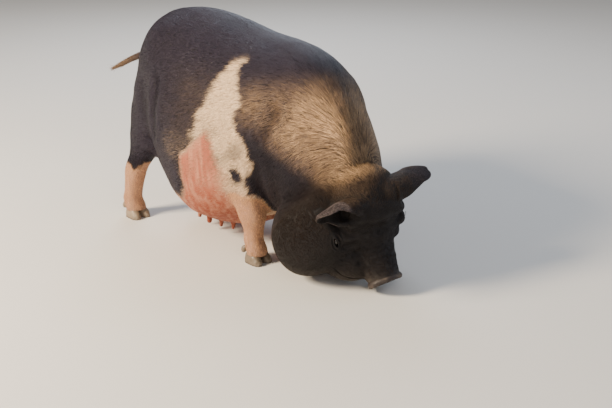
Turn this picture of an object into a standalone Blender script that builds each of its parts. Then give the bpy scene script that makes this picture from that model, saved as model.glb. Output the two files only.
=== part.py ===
"""A pot-bellied sow of a cross breed, life size, standing square with its snout on the ground.

The body is modelled whole, from lofted tubes and muscle masses, takes on the bristle locks of its nape and
back, and is then parted by thin plane cuts into head, neck, torso and legs. Snout disc, ears, eyes, tail,
hooves and dewclaws are pieces of their own, each trimmed to what it grows from. X runs forward, Y to the
animal's left and Z up.
"""

import math
import random
from typing import NamedTuple

import bmesh
import bpy
import numpy as np
from mathutils import Euler, Matrix, Vector

# Driving dimensions of the body, in metres
RUMP_HEIGHT = 0.700
WITHERS_HEIGHT = 0.658
RUMP_X = -0.408
WHEELBASE = 0.575
BELLY_HALF_WIDTH = 0.255
BELLY_CLEARANCE = 0.048
FORE_TRACK_HALF = 0.150
HIND_TRACK_HALF = 0.173
GAP = 0.0003

# Where the feet stand, by the middle of each coronet
HIND_FOOT_X = -0.377
FORE_FOOT_X = HIND_FOOT_X + WHEELBASE
LEFT_FORE_STEP = 0.045
LEFT_HIND_STEP = 0.035

# The head hangs from the skull's centre, muzzle down, turned to the animal's right
SKULL_CENTRE = Vector((0.533, -0.046, 0.274))
HEAD_PITCH = math.radians(69)
HEAD_YAW = math.radians(-12)
HEAD_TILT = math.radians(6)
HEAD_LENGTH = 0.255
HEAD_HALF_WIDTH = 0.114
DISC_RADIUS = 0.050
DISC_THICKNESS = 0.022
DISC_UPTURN = math.radians(13)
NOSTRIL_RADIUS = 0.0085
MOUTH_GROOVE = 0.0035
EYE_RADIUS = 0.0130
EYE_DEPTH = 0.72
EYE_X = 0.086
EYE_Z = 0.000
LID_THICKNESS = 0.0050
EAR_THICKNESS = 0.0062
EAR_SUNK_SHARE = 0.15

# Feet, tail and teats
CLAW_LENGTH = 0.066
CLAW_HALF_WIDTH = 0.0165
CLAW_HEIGHT = 0.040
DEWCLAW_LENGTH = 0.030
TAIL_RADIUS = 0.015
TEAT_LENGTH = 0.026
TEAT_RADIUS = 0.0085
TEATS_A_SIDE = 6

# The bristles of neck, shoulders and back, gathered into flat locks that lie backwards
BRISTLE_LENGTH = 0.094
BRISTLE_HALF_WIDTH = 0.0180
BRISTLE_HALF_THICKNESS = 0.0015
BRISTLE_LIFT = 0.0064
BRISTLE_ARC = ((-0.12, -0.60), (0.28, 0.34), (0.62, 0.60), (1.0, 1.0))
BRISTLE_SEAM_MARGIN = 0.003
BRISTLE_ROW_STEP = 0.050
BRISTLES_ACROSS = 6
BRISTLE_SPACING = 0.036
BRISTLE_SEED = 11
LOIN_X = -0.300

# The brush at the tail's end
BRUSH_LOCKS = 4
BRUSH_START = 0.62
BRUSH_ARC = ((0.0, 0.0008), (0.25, 0.0048), (0.60, 0.0066), (1.0, 0.0052))
BRUSH_HALF_WIDTH = 0.0046
BRUSH_HALF_THICKNESS = 0.0013

# How fine the meshes are
SKIN_VOXEL = 0.007
BODY_TRIANGLES = 4900
LOFT_SIDES = 28
LOFT_STEPS = 5
HEAD_DETAIL = 0.66
FOOT_DETAIL = 0.35

HEAD = (
    Matrix.Translation(SKULL_CENTRE)
    @ Matrix.Rotation(HEAD_TILT, 4, "X")
    @ Matrix.Rotation(HEAD_YAW, 4, "Z")
    @ Matrix.Rotation(HEAD_PITCH, 4, "Y")
)


class Ear(NamedTuple):
    """How one ear stands: where it points, where its back faces, and its root in the head's frame.

    The roll is the degrees of arc on each side of its midrib, at the root and from its middle on.
    """

    along: tuple
    back: tuple
    root: tuple
    length: float
    half_width: float
    root_width_share: float
    roll: tuple
    droop: float
    tip_fullness: int


EARS = {
    -1: Ear(
        along=(0.05, -0.98, -0.04),
        back=(-0.70, 0.15, 0.70),
        root=(-0.002, -0.088, 0.052),
        length=0.120,
        half_width=0.037,
        root_width_share=0.86,
        roll=(150, 60),
        droop=0.010,
        tip_fullness=4,
    ),
    1: Ear(
        along=(0.10, 0.97, 0.14),
        back=(0.08, -0.45, 0.86),
        root=(-0.024, 0.078, 0.078),
        length=0.125,
        half_width=0.046,
        root_width_share=0.80,
        roll=(125, 45),
        droop=0.018,
        tip_fullness=5,
    ),
}

DISC = HEAD @ Matrix.Translation((HEAD_LENGTH, 0, 0.008)) @ Matrix.Rotation(-DISC_UPTURN, 4, "Y")
SIDES = ((-1, "right"), (1, "left"))

# The planes that part head and neck from what is behind them, each facing along its X axis
HEAD_PLANE = HEAD @ Matrix.Rotation(math.radians(-30), 4, "Y") @ Matrix.Translation((-0.052, 0, 0))
NECK_PLANE = Matrix.Translation((0.350, 0, 0.40)) @ Matrix.Rotation(math.radians(24), 4, "Y")

COLOURS = {
    "black_hide": ((0.030, 0.026, 0.028, 1.0), 0.62),
    "pink_hide": ((0.62, 0.36, 0.29, 1.0), 0.58),
    "snout_hide": ((0.075, 0.055, 0.055, 1.0), 0.45),
    "eye": ((0.018, 0.010, 0.006, 1.0), 0.08),
    "horn": ((0.30, 0.24, 0.18, 1.0), 0.50),
}


def material(name):
    """The named finish as a Principled material, made once."""
    made = bpy.data.materials.get(name)
    if made:
        return made
    colour, roughness = COLOURS[name]
    made = bpy.data.materials.new(name)
    made.use_nodes = True
    shader = made.node_tree.nodes["Principled BSDF"]
    shader.inputs["Base Color"].default_value = colour
    shader.inputs["Roughness"].default_value = roughness
    shader.inputs["Metallic"].default_value = 0.0
    made.diffuse_color = colour
    return made


def new_object(name, bm):
    """A linked mesh object from a bmesh, its faces turned out."""
    bmesh.ops.recalc_face_normals(bm, faces=bm.faces)
    mesh = bpy.data.meshes.new(name)
    bm.to_mesh(mesh)
    bm.free()
    made = bpy.data.objects.new(name, mesh)
    bpy.context.scene.collection.objects.link(made)
    return made


def apply_modifiers(obj):
    """Replaces the object's mesh by its evaluated one."""
    bpy.context.view_layer.update()
    graph = bpy.context.evaluated_depsgraph_get()
    mesh = bpy.data.meshes.new_from_object(obj.evaluated_get(graph), depsgraph=graph)
    obj.modifiers.clear()
    obj.data = mesh


def remove(obj):
    bpy.data.objects.remove(obj, do_unlink=True)


def smooth_rows(rows, steps):
    """Rows of numbers with steps rows for each interval, on a Catmull-Rom curve through the given ones."""
    rows = np.array(rows, float)
    padded = np.vstack([2 * rows[0] - rows[1], rows, 2 * rows[-1] - rows[-2]])
    made = []
    for i in range(len(rows) - 1):
        a, b, c, d = padded[i : i + 4]
        for t in np.arange(steps) / steps:
            square = 2 * a - 5 * b + 4 * c - d
            cube = 3 * b - a - 3 * c + d
            made.append(0.5 * (2 * b + (c - a) * t + square * t**2 + cube * t**3))
    made.append(rows[-1])
    return np.array(made)


def superellipse(turn, power):
    """Cosine and sine of a turn, squared up by a power of 1 or less."""
    cosine, sine = math.cos(turn), math.sin(turn)
    return (
        math.copysign(abs(cosine) ** power, cosine),
        math.copysign(abs(sine) ** power, sine),
    )


def skin_rings(bm, rings):
    """Bridges rings of points into one closed tube with flat ends."""
    loops = [[bm.verts.new(p) for p in ring] for ring in rings]
    for first, second in zip(loops, loops[1:]):
        for i in range(len(first)):
            j = (i + 1) % len(first)
            bm.faces.new((first[i], first[j], second[j], second[i]))
    bm.faces.new(loops[0])
    bm.faces.new(loops[-1])


def trunk_tube(name, stations, matrix=None):
    """A tube whose side view is given by pairs of top and bottom points.

    Each station is top x, top z, bottom x, bottom z, half width, level of the widest point, squareness
    and how far it sways to the left.
    """
    rings = []
    stations = [(*station, 0)[:8] for station in stations]
    for top_x, top_z, low_x, low_z, half_width, widest, power, sway in smooth_rows(stations, LOFT_STEPS):
        top, low = Vector((top_x, 0, top_z)), Vector((low_x, 0, low_z))
        middle = low.lerp(top, widest)
        ring = []
        for k in range(LOFT_SIDES):
            side, rise = superellipse(2 * math.pi * k / LOFT_SIDES, power)
            reach = (top - middle) * rise if rise > 0 else (middle - low) * rise
            point = middle + reach + Vector((0, sway + half_width * side, 0))
            ring.append(matrix @ point if matrix else point)
        rings.append(ring)
    bm = bmesh.new()
    skin_rings(bm, rings)
    return new_object(name, bm)


def limb_tube(name, stations, side):
    """A limb of level oval rings. Each station is x, y, z, half length along x, half width along y."""
    rings = []
    for x, y, z, along, across in smooth_rows(stations, LOFT_STEPS):
        rings.append(
            [
                Vector((x + along * math.cos(t), side * (y + across * math.sin(t)), z))
                for t in np.linspace(0, 2 * math.pi, LOFT_SIDES, endpoint=False)
            ]
        )
    bm = bmesh.new()
    skin_rings(bm, rings)
    return new_object(name, bm)


def bent_tube(name, stations, sides, steps=LOFT_STEPS):
    """A round tube along a free path. Each station is x, y, z, radius."""
    rows = smooth_rows(stations, steps)
    points = [Vector(r[:3]) for r in rows]
    rings = []
    for i, row in enumerate(rows):
        ahead = points[min(i + 1, len(points) - 1)] - points[max(i - 1, 0)]
        turn = ahead.to_track_quat("Z", "Y").to_matrix()
        rings.append(
            [
                points[i] + turn @ Vector((row[3] * math.cos(t), row[3] * math.sin(t), 0))
                for t in np.linspace(0, 2 * math.pi, sides, endpoint=False)
            ]
        )
    bm = bmesh.new()
    skin_rings(bm, rings)
    return new_object(name, bm)


def ellipsoid(name, centre, radii, turn=(0, 0, 0), matrix=None, segments=24):
    """A UV sphere of three radii, turned by angles in degrees."""
    place = Matrix.Translation(centre) @ Euler([math.radians(a) for a in turn]).to_matrix().to_4x4()
    place = (matrix @ place if matrix else place) @ Matrix.Diagonal((*radii, 1))
    bm = bmesh.new()
    bmesh.ops.create_uvsphere(bm, u_segments=segments, v_segments=segments // 2, radius=1, matrix=place)
    return new_object(name, bm)


def cutter_box(name, corner, size, matrix=None):
    """A hidden box from its low corner and its three sizes."""
    place = Matrix.Translation(Vector(corner) + Vector(size) / 2) @ Matrix.Diagonal((*size, 1))
    bm = bmesh.new()
    bmesh.ops.create_cube(bm, size=1, matrix=matrix @ place if matrix else place)
    made = new_object(name, bm)
    made.hide_render = True
    made.display_type = "WIRE"
    return made


def boolean(obj, other, operation, solver="MANIFOLD"):
    """Applies one Boolean of another closed mesh to the object."""
    modifier = obj.modifiers.new(operation.title(), "BOOLEAN")
    modifier.object = other
    modifier.operation = operation
    modifier.solver = solver
    apply_modifiers(obj)


def keep_largest(obj):
    """Drops every closed surface but the one of most faces, which also fills sealed hollows."""
    bm = bmesh.new()
    bm.from_mesh(obj.data)
    bmesh.ops.remove_doubles(bm, verts=bm.verts, dist=1e-6)
    islands, seen = [], set()
    for start in bm.faces:
        if start in seen:
            continue
        island, queue = [], [start]
        seen.add(start)
        while queue:
            face = queue.pop()
            island.append(face)
            for edge in face.edges:
                for near in edge.link_faces:
                    if near not in seen:
                        seen.add(near)
                        queue.append(near)
        islands.append(island)
    islands.sort(key=len)
    for island in islands[:-1]:
        bmesh.ops.delete(bm, geom=island, context="FACES")
    bmesh.ops.delete(bm, geom=[v for v in bm.verts if not v.link_faces], context="VERTS")
    bmesh.ops.triangulate(bm, faces=bm.faces)
    bm.to_mesh(obj.data)
    bm.free()


def duplicate(obj, name):
    made = bpy.data.objects.new(name, obj.data.copy())
    bpy.context.scene.collection.objects.link(made)
    return made


def swollen(obj, by):
    """A copy of the object pushed out along its normals."""
    made = duplicate(obj, obj.name + "_swollen")
    push = made.modifiers.new("Displace", "DISPLACE")
    push.strength = by
    push.mid_level = 0
    apply_modifiers(made)
    return made


def trim(obj, *neighbours, by=GAP):
    """Cuts the object clear of its neighbours, face to face with a thin gap."""
    for neighbour in neighbours:
        cutter = swollen(neighbour, by)
        boolean(obj, cutter, "DIFFERENCE")
        remove(cutter)
    keep_largest(obj)


def finish(obj, name, finish_name, angle=40):
    """Names the node, gives it its finish and shades it smooth."""
    obj.name = name
    obj.data.name = name
    obj.data.materials.clear()
    obj.data.materials.append(material(finish_name))
    obj.data.shade_smooth()
    obj.data.set_sharp_from_angle(angle=math.radians(angle))


# The masses of the body

def ear_place(shape):
    """The frame of an ear: X along its midrib from the root, Z the way its back faces."""
    along, back = Vector(shape.along).normalized(), Vector(shape.back)
    back = (back - along * back.dot(along)).normalized()
    place = Matrix((along, back.cross(along), back)).transposed().to_4x4()
    place.translation = HEAD @ Vector(shape.root)
    return place


def trunk():
    """Rump, barrel, pot belly, chest and the thick lowered neck, as one tube."""
    rump, withers, belly, width = RUMP_HEIGHT, WITHERS_HEIGHT, BELLY_CLEARANCE, BELLY_HALF_WIDTH
    stations = [
        (RUMP_X - 0.004, 0.540, RUMP_X + 0.004, 0.440, 0.045, 0.5, 1.0),
        (RUMP_X + 0.010, 0.602, RUMP_X + 0.016, 0.370, 0.100, 0.5, 0.95),
        (RUMP_X + 0.060, 0.666, RUMP_X + 0.065, 0.290, 0.152, 0.52, 0.92),
        (RUMP_X + 0.140, rump - 0.001, RUMP_X + 0.145, 0.205, 0.198, 0.52, 0.90),
        (RUMP_X + 0.230, rump, RUMP_X + 0.225, belly + 0.060, 0.230, 0.48, 0.88),
        (RUMP_X + 0.330, rump - 0.010, RUMP_X + 0.320, belly + 0.004, width, 0.42, 0.86),
        (RUMP_X + 0.440, rump - 0.033, RUMP_X + 0.430, belly + 0.008, width, 0.42, 0.86),
        (RUMP_X + 0.550, withers, RUMP_X + 0.550, belly + 0.052, 0.245, 0.46, 0.90),
        (RUMP_X + 0.650, withers - 0.014, RUMP_X + 0.650, belly + 0.095, 0.222, 0.50, 0.92),
        (RUMP_X + 0.739, withers - 0.048, RUMP_X + 0.735, belly + 0.095, 0.200, 0.50, 0.95, -0.006),
        (RUMP_X + 0.823, withers - 0.122, RUMP_X + 0.800, belly + 0.035, 0.182, 0.48, 0.97, -0.020),
        (RUMP_X + 0.892, withers - 0.200, RUMP_X + 0.865, belly - 0.010, 0.160, 0.44, 1.0, -0.034),
        (RUMP_X + 0.935, withers - 0.282, RUMP_X + 0.920, belly - 0.015, 0.130, 0.42, 1.0, -0.044),
        (RUMP_X + 0.965, withers - 0.340, RUMP_X + 0.965, belly, 0.100, 0.44, 1.0, -0.048),
    ]
    return trunk_tube("trunk", stations)


def skull():
    """Cranium, steep brow and short dished muzzle, along the head's own axis."""
    length, width = HEAD_LENGTH, HEAD_HALF_WIDTH
    stations = [
        (-0.080, 0.040, -0.070, -0.070, 0.070, 0.5, 1.0),
        (-0.040, 0.084, -0.035, -0.095, 0.100, 0.5, 0.95),
        (0.020, 0.088, 0.020, -0.104, width, 0.52, 0.9),
        (0.066, 0.074, 0.070, -0.104, width * 0.97, 0.5, 0.9),
        (0.104, 0.048, 0.115, -0.098, width * 0.84, 0.45, 0.95),
        (0.145, 0.040, 0.160, -0.086, width * 0.64, 0.5, 0.95),
        (0.190, 0.045, 0.208, -0.066, width * 0.53, 0.5, 1.0),
        (length - 0.020, 0.056, length - 0.002, -0.042, DISC_RADIUS * 0.98, 0.5, 1.0),
    ]
    return trunk_tube("skull", stations, HEAD)


def head_masses():
    """Brow folds, cheeks, chin and heavy jowls of both sides."""
    made = [
        ellipsoid("chin", (0.512, -0.060, 0.088), (0.096, 0.095, 0.076)),
        ellipsoid("forehead", (0.046, 0, 0.066), (0.036, 0.084, 0.026), (0, 14, 0), HEAD),
    ]
    for side, _ in SIDES:
        made += [
            ellipsoid("brow", (0.066, side * 0.066, 0.044), (0.032, 0.034, 0.022), (0, 12, side * -20), HEAD),
            ellipsoid("cheek", (0.080, side * 0.080, -0.034), (0.078, 0.044, 0.062), (0, 0, side * -16), HEAD),
            ellipsoid("jowl", (0.432, side * 0.094 - 0.040, 0.158), (0.122, 0.114, 0.146), (0, 28, 0)),
            ellipsoid("ear_root", (-0.028, 0, -0.030), (0.038, 0.034, 0.034), matrix=ear_place(EARS[side])),
        ]
    return made


def body_masses():
    """Shoulders, hams and the udder's swelling."""
    made = [ellipsoid("udder", (-0.060, 0, BELLY_CLEARANCE + 0.045), (0.200, 0.150, 0.048))]
    for side, _ in SIDES:
        made += [
            ellipsoid("shoulder", (0.190, side * 0.140, 0.380), (0.130, 0.095, 0.170), (0, 12, 0)),
            ellipsoid("elbow", (0.160, side * 0.150, 0.240), (0.080, 0.062, 0.080)),
            ellipsoid("ham", (-0.268, side * 0.114, 0.390), (0.106, 0.094, 0.180), (0, -6, 0)),
        ]
    return made


def foreleg(side, step):
    """Upper arm, knee, cannon and pastern down to the coronet."""
    x, y = FORE_FOOT_X + step, FORE_TRACK_HALF
    stations = [
        (FORE_FOOT_X - 0.045, y + 0.002, 0.360, 0.090, 0.060),
        (x - 0.036, y + 0.008, 0.250, 0.066, 0.055),
        (x - 0.018, y + 0.006, 0.190, 0.050, 0.046),
        (x - 0.004, y + 0.004, 0.140, 0.040, 0.039),
        (x - 0.002, y, 0.100, 0.031, 0.031),
        (x - 0.004, y, 0.070, 0.031, 0.033),
        (x + 0.008, y, 0.044, 0.031, 0.035),
        (x + 0.014, y, 0.030, 0.030, 0.036),
    ]
    return limb_tube("foreleg", stations, side)


def hindleg(side, step):
    """Thigh, hock, cannon and pastern down to the coronet."""
    x, y = HIND_FOOT_X + step, HIND_TRACK_HALF
    stations = [
        (HIND_FOOT_X + 0.085, y - 0.044, 0.400, 0.096, 0.070),
        (HIND_FOOT_X + 0.070, y - 0.030, 0.300, 0.080, 0.060),
        (x + 0.046, y - 0.020, 0.235, 0.054, 0.046),
        (x + 0.018, y - 0.008, 0.180, 0.042, 0.039),
        (x + 0.008, y - 0.002, 0.130, 0.034, 0.033),
        (x, y, 0.090, 0.031, 0.032),
        (x - 0.006, y, 0.064, 0.033, 0.034),
        (x + 0.004, y, 0.042, 0.032, 0.036),
        (x + 0.012, y, 0.030, 0.031, 0.037),
    ]
    return limb_tube("hindleg", stations, side)


def fore_step(side):
    return LEFT_FORE_STEP if side > 0 else 0.0


def hind_step(side):
    return LEFT_HIND_STEP if side > 0 else 0.0


def fused_body():
    """All flesh as one surface: the pieces are joined by a fine remesh, smoothed and thinned out."""
    pieces = [trunk(), skull(), *head_masses(), *body_masses()]
    for side, _ in SIDES:
        pieces += [foreleg(side, fore_step(side)), hindleg(side, hind_step(side))]
    bm = bmesh.new()
    for piece in pieces:
        bm.from_mesh(piece.data)
        remove(piece)
    body = new_object("body", bm)
    remesh = body.modifiers.new("Remesh", "REMESH")
    remesh.mode = "VOXEL"
    remesh.voxel_size = SKIN_VOXEL
    apply_modifiers(body)
    soften(body)
    keep_largest(body)
    thin_out(body, BODY_TRIANGLES)
    return body


def soften(body):
    """Blends the masses into each other: strongly over the trunk, lightly over head and feet."""
    all_over = body.modifiers.new("Smooth", "SMOOTH")
    all_over.iterations = 7
    apply_modifiers(body)
    trunk_group = body.vertex_groups.new(name="trunk")
    for vertex in body.data.vertices:
        x, _, z = vertex.co
        high = min(1.0, max(0.0, (z - 0.17) / 0.10))
        behind_head = min(1.0, max(0.0, (0.44 - x + 0.5 * (z - 0.3)) / 0.08))
        trunk_group.add([vertex.index], high * behind_head, "REPLACE")
    blend = body.modifiers.new("Blend", "SMOOTH")
    blend.iterations = 45
    blend.vertex_group = "trunk"
    apply_modifiers(body)
    body.vertex_groups.clear()


def foot_places():
    """The middle of each foot on the floor, by the leg's name."""
    places = {}
    for side, word in SIDES:
        places["foreleg_" + word] = Vector((FORE_FOOT_X + fore_step(side), side * FORE_TRACK_HALF, 0))
        places["hindleg_" + word] = Vector((HIND_FOOT_X + hind_step(side), side * HIND_TRACK_HALF, 0))
    return places


def thin_out(body, triangles):
    """Collapses the mesh to a number of triangles, with more of them kept on the head and the feet."""
    detail = body.vertex_groups.new(name="detail")
    face_place = HEAD @ Vector((0.10, 0, 0))
    feet = foot_places().values()
    for vertex in body.data.vertices:
        near_face = 1 - (vertex.co - face_place).length / 0.22
        to_feet = [Vector((*(vertex.co - foot).xy, 0.45 * vertex.co.z)).length for foot in feet]
        near_foot = 1 - min(to_feet) / 0.10
        kept = max(0.0, near_face, FOOT_DETAIL * near_foot)
        detail.add([vertex.index], 1 - HEAD_DETAIL * kept, "REPLACE")
    count = sum(len(p.vertices) - 2 for p in body.data.polygons)
    collapse = body.modifiers.new("Decimate", "DECIMATE")
    collapse.ratio = triangles / count
    collapse.vertex_group = "detail"
    collapse.vertex_group_factor = 1.0
    apply_modifiers(body)
    body.vertex_groups.clear()


# Parting the body

def part_body(body):
    """Cuts legs, head and neck off the body, and returns the nodes by name."""
    nodes = {}
    for name, foot in foot_places().items():
        middle, slope = ((-0.026, 0, 0.185), -0.12) if "fore" in name else ((0.030, 0, 0.225), -0.20)
        nodes[name] = cut_leg(body, foot + Vector(middle), slope)
    nodes["head"] = cut_front(body, HEAD_PLANE)
    nodes["neck"] = cut_front(body, NECK_PLANE)
    nodes["torso"] = body
    return nodes


def cut_pair(body, inner, outer):
    """Parts the body: what lies in the inner cutter is returned, what lies outside the outer one stays."""
    taken = duplicate(body, "taken")
    boolean(taken, inner, "INTERSECT")
    boolean(body, outer, "DIFFERENCE")
    for cutter in (inner, outer):
        remove(cutter)
    for obj in (taken, body):
        keep_largest(obj)
    return taken


def cut_front(body, plane):
    """Takes what lies ahead of the plane off the body, and returns it. The plane's X axis points ahead."""
    reach = 2.0
    size = (reach, 2 * reach, 2 * reach)
    inner = cutter_box("ahead", (GAP / 2, -reach, -reach), size, plane)
    outer = cutter_box("wider", (-GAP / 2, -reach, -reach), size, plane)
    return cut_pair(body, inner, outer)


def cut_leg(body, middle, slope):
    """Takes a leg off the body below a plane that falls towards the belly, and returns it."""
    side = math.copysign(1, middle.y)
    place = Matrix.Translation(middle) @ Matrix.Rotation(side * slope, 4, "X")
    to_belly, outwards, half_length, depth = 0.058, 0.16, 0.066, 0.45
    low_y = -to_belly if side > 0 else -outwards
    corner = Vector((-half_length, low_y, -depth))
    size = Vector((2 * half_length, to_belly + outwards, depth))
    margin = Vector((GAP, GAP, GAP))
    inner = cutter_box("below", corner, size, place)
    outer = cutter_box("wider", corner - margin, size + 2 * margin, place)
    return cut_pair(body, inner, outer)


# Places on the surface

def surface_point(obj, origin, direction):
    """Where a ray from inside the object leaves it, and the surface's normal there."""
    hit, point, normal, _ = obj.ray_cast(origin, direction)
    if not hit:
        raise ValueError("a ray from inside the body met no surface")
    return point, normal


def unite(node, pieces):
    """Joins closed pieces to the node by one Boolean union."""
    group = bpy.data.collections.new("pieces")
    bpy.context.scene.collection.children.link(group)
    for piece in pieces:
        bpy.context.scene.collection.objects.unlink(piece)
        group.objects.link(piece)
    union = node.modifiers.new("Union", "BOOLEAN")
    union.operation = "UNION"
    union.operand_type = "COLLECTION"
    union.collection = group
    union.solver = "MANIFOLD"
    apply_modifiers(node)
    for piece in list(group.objects):
        remove(piece)
    bpy.data.collections.remove(group)
    keep_largest(node)


# The bristles

def lock(spine, outwards, half_width, half_thickness):
    """A flat, tapered lock of four-sided rings along a path of points, drawn out to a point at its end."""
    widths, depths = (0.30, 1.0, 0.74), (1.0, 1.0, 0.8)
    bm = bmesh.new()
    loops = []
    for i, (width, depth) in enumerate(zip(widths, depths)):
        ahead = spine[i + 1] - spine[max(i - 1, 0)]
        across = ahead.cross(outwards[i]).normalized() * half_width * width
        up = across.cross(ahead).normalized() * half_thickness * depth
        loops.append([bm.verts.new(spine[i] + reach) for reach in (across, up, -across, -up)])
    tip = bm.verts.new(spine[-1])
    for first, second in zip(loops, loops[1:]):
        for i in range(4):
            bm.faces.new((first[i], first[i - 3], second[i - 3], second[i]))
    for i in range(4):
        bm.faces.new((loops[-1][i], loops[-1][i - 3], tip))
    bm.faces.new(loops[0])
    return new_object("lock", bm)


def ahead_of(plane, point):
    """How far a point lies ahead of a plane."""
    return (plane.inverted() @ point).x


def on_surface(body, point):
    """The nearest point of the surface, and its normal."""
    _, place, normal, _ = body.closest_point_on_mesh(point)
    return place, normal


def along_surface(normal, heading):
    return (heading - normal * heading.dot(normal)).normalized()


def fitted_to_seam(root, heading, length):
    """The root and length of a lock, drawn back or shortened to stay on one side of the neck's seam."""
    sunk_end, clear = -BRISTLE_ARC[0][0] * BRISTLE_LENGTH, BRISTLE_SEAM_MARGIN
    before = ahead_of(NECK_PLANE, root)
    fall = before - ahead_of(NECK_PLANE, root + heading * length)
    if before - fall > clear or before < -sunk_end - clear:
        return root, length
    if before - clear > 0.6 * fall:
        return root, length * (before - clear) / fall
    return root + heading * (before + sunk_end + clear) * length / fall, length


def bristle(body, root, heading, length, rng):
    """One lock of the coat, sunk at its root and free at its tip, or None where it would reach the head."""
    place, normal = on_surface(body, root)
    heading = along_surface(normal, heading)
    root, length = fitted_to_seam(place, heading, length)
    spine, outwards = [], []
    for share, lift in BRISTLE_ARC:
        place, facing = on_surface(body, root + heading * length * share)
        outwards.append((facing + normal).normalized())
        spine.append(place + outwards[-1] * BRISTLE_LIFT * lift)
    if ahead_of(HEAD_PLANE, spine[0]) > -BRISTLE_SEAM_MARGIN:
        return None
    return lock(spine, outwards, BRISTLE_HALF_WIDTH * rng.uniform(0.85, 1.1), BRISTLE_HALF_THICKNESS)


def crest(body):
    """Points on the middle of the nape, withers and back, at even steps from the head to the loin."""
    centre, neck_sway = Vector((0.22, 0, 0.36)), -0.17
    rays = [
        (centre, Vector((math.cos(rise), neck_sway * math.cos(rise), math.sin(rise))))
        for rise in np.radians(range(5, 90))
    ]
    rays += [(Vector((x, 0, centre.z)), Vector((0, 0, 1))) for x in np.arange(centre.x, LOIN_X, -0.005)]
    points = [surface_point(body, origin, direction)[0] for origin, direction in rays]
    points = [point for point in points if ahead_of(HEAD_PLANE, point) < -0.012]
    made = [points[0]]
    for point in points:
        if (point - made[-1]).length >= BRISTLE_ROW_STEP:
            made.append(point)
    return made


def bristles(body):
    """Rows of locks from the nape over the withers to the loin, each row between the locks of the last."""
    rng = random.Random(BRISTLE_SEED)
    made = []
    for row, middle in enumerate(crest(body)):
        count = BRISTLES_ACROSS - row % 2
        for k in range(count):
            aside = (k - (count - 1) / 2) * BRISTLE_SPACING
            root = middle + Vector((rng.uniform(-0.004, 0.004), aside + rng.uniform(-0.003, 0.003), 0))
            spread = aside / (BRISTLES_ACROSS * BRISTLE_SPACING)
            heading = Vector((-1, spread + rng.uniform(-0.12, 0.12), -abs(spread)))
            made.append(bristle(body, root, heading, BRISTLE_LENGTH * rng.uniform(0.86, 1.12), rng))
    return [piece for piece in made if piece]


def tail_brush(root, tip):
    """The brush at the tail's end: locks that leave it all round and hang together to its tip."""
    rng = random.Random(BRISTLE_SEED)
    along = (tip - root).normalized()
    made = []
    for k in range(BRUSH_LOCKS):
        turn = Matrix.Rotation(2 * math.pi * (k + 0.3) / BRUSH_LOCKS, 3, along)
        outward = turn @ along_surface(along, Vector((0, 0, 1)))
        start, reach = BRUSH_START + rng.uniform(0, 0.05), rng.uniform(0.92, 1.0)
        spine = []
        for share, lift in BRUSH_ARC:
            spine.append(root.lerp(tip, start + (reach - start) * share) + outward * lift)
        made.append(lock(spine, [outward] * len(spine), BRUSH_HALF_WIDTH, BRUSH_HALF_THICKNESS))
    return made


# The head's own pieces

def snout_disc():
    """The round rooting disc with a raised rim and two nostrils."""
    radius, half = DISC_RADIUS, DISC_THICKNESS / 2
    profile = [
        (-half, radius * 0.80),
        (-half * 0.5, radius * 0.97),
        (half * 0.15, radius * 1.03),
        (half * 0.75, radius * 0.98),
        (half, radius * 0.88),
        (half * 0.80, radius * 0.72),
        (half * 0.72, radius * 0.45),
    ]
    rings = [
        [
            DISC @ Vector((x, 1.06 * r * math.cos(t), 0.94 * r * math.sin(t)))
            for t in np.linspace(0, 2 * math.pi, LOFT_SIDES, endpoint=False)
        ]
        for x, r in profile
    ]
    bm = bmesh.new()
    skin_rings(bm, rings)
    disc = new_object("snout_disc", bm)
    for side, _ in SIDES:
        nostril = ellipsoid(
            "nostril",
            (half * 0.7, side * 0.0195, 0.006),
            (0.013, NOSTRIL_RADIUS, NOSTRIL_RADIUS * 1.25),
            (side * -18, 0, 0),
            DISC,
            16,
        )
        boolean(disc, nostril, "DIFFERENCE")
        remove(nostril)
    return disc


def mouth_groove(head, side):
    """A tube along the line of the mouth, half sunk in the muzzle, from under the disc to the cheek."""
    line = ((0.236, -0.024), (0.214, -0.030), (0.190, -0.036), (0.168, -0.040), (0.152, -0.036))
    stations = []
    for i, (x, z) in enumerate(line):
        origin = HEAD @ Vector((x, 0, z * 0.9))
        outwards = HEAD.to_3x3() @ Vector((0, side, -0.05))
        point, _ = surface_point(head, origin, outwards)
        stations.append((*point, MOUTH_GROOVE * (0.6 if i == len(line) - 1 else 1.0)))
    return bent_tube("mouth", stations, 8, 2)


def eye_place(head, side):
    """The frame of an eye: X along its slit, Z looking out, the origin at the ball's centre."""
    turn = HEAD.to_3x3()
    origin = HEAD @ Vector((EYE_X, side * 0.030, EYE_Z))
    outwards = (turn @ Vector((0.20, side, 0.16))).normalized()
    point, normal = surface_point(head, origin, outwards)
    facing = (normal + outwards).normalized()
    across = facing.cross(turn @ Vector((1, side * -0.15, -0.22))).normalized()
    place = Matrix((across.cross(facing), across, facing)).transposed().to_4x4()
    place.translation = point - facing * EYE_RADIUS * EYE_DEPTH
    return place


def add_face(head):
    """Lids round the eyes, their openings and the line of the mouth. Returns the eyes by name."""
    eyes, lids, openings = {}, [], []
    lid, slit = EYE_RADIUS + LID_THICKNESS, EYE_RADIUS * 1.05
    for side, word in SIDES:
        place = eye_place(head, side)
        lids.append(ellipsoid("lid", (0, 0, 0), (lid * 1.25, lid, lid), matrix=place, segments=18))
        openings.append(
            ellipsoid("slit", (0, 0, EYE_RADIUS), (slit, slit / 2, EYE_RADIUS), matrix=place, segments=14)
        )
        eyes["eye_" + word] = ellipsoid("eye", (0, 0, 0), (EYE_RADIUS,) * 3, matrix=place, segments=16)
    unite(head, lids)
    openings += [mouth_groove(head, side) for side, _ in SIDES]
    for opening in openings:
        boolean(head, opening, "DIFFERENCE")
        remove(opening)
    trim(head, *eyes.values())
    return eyes


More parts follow.
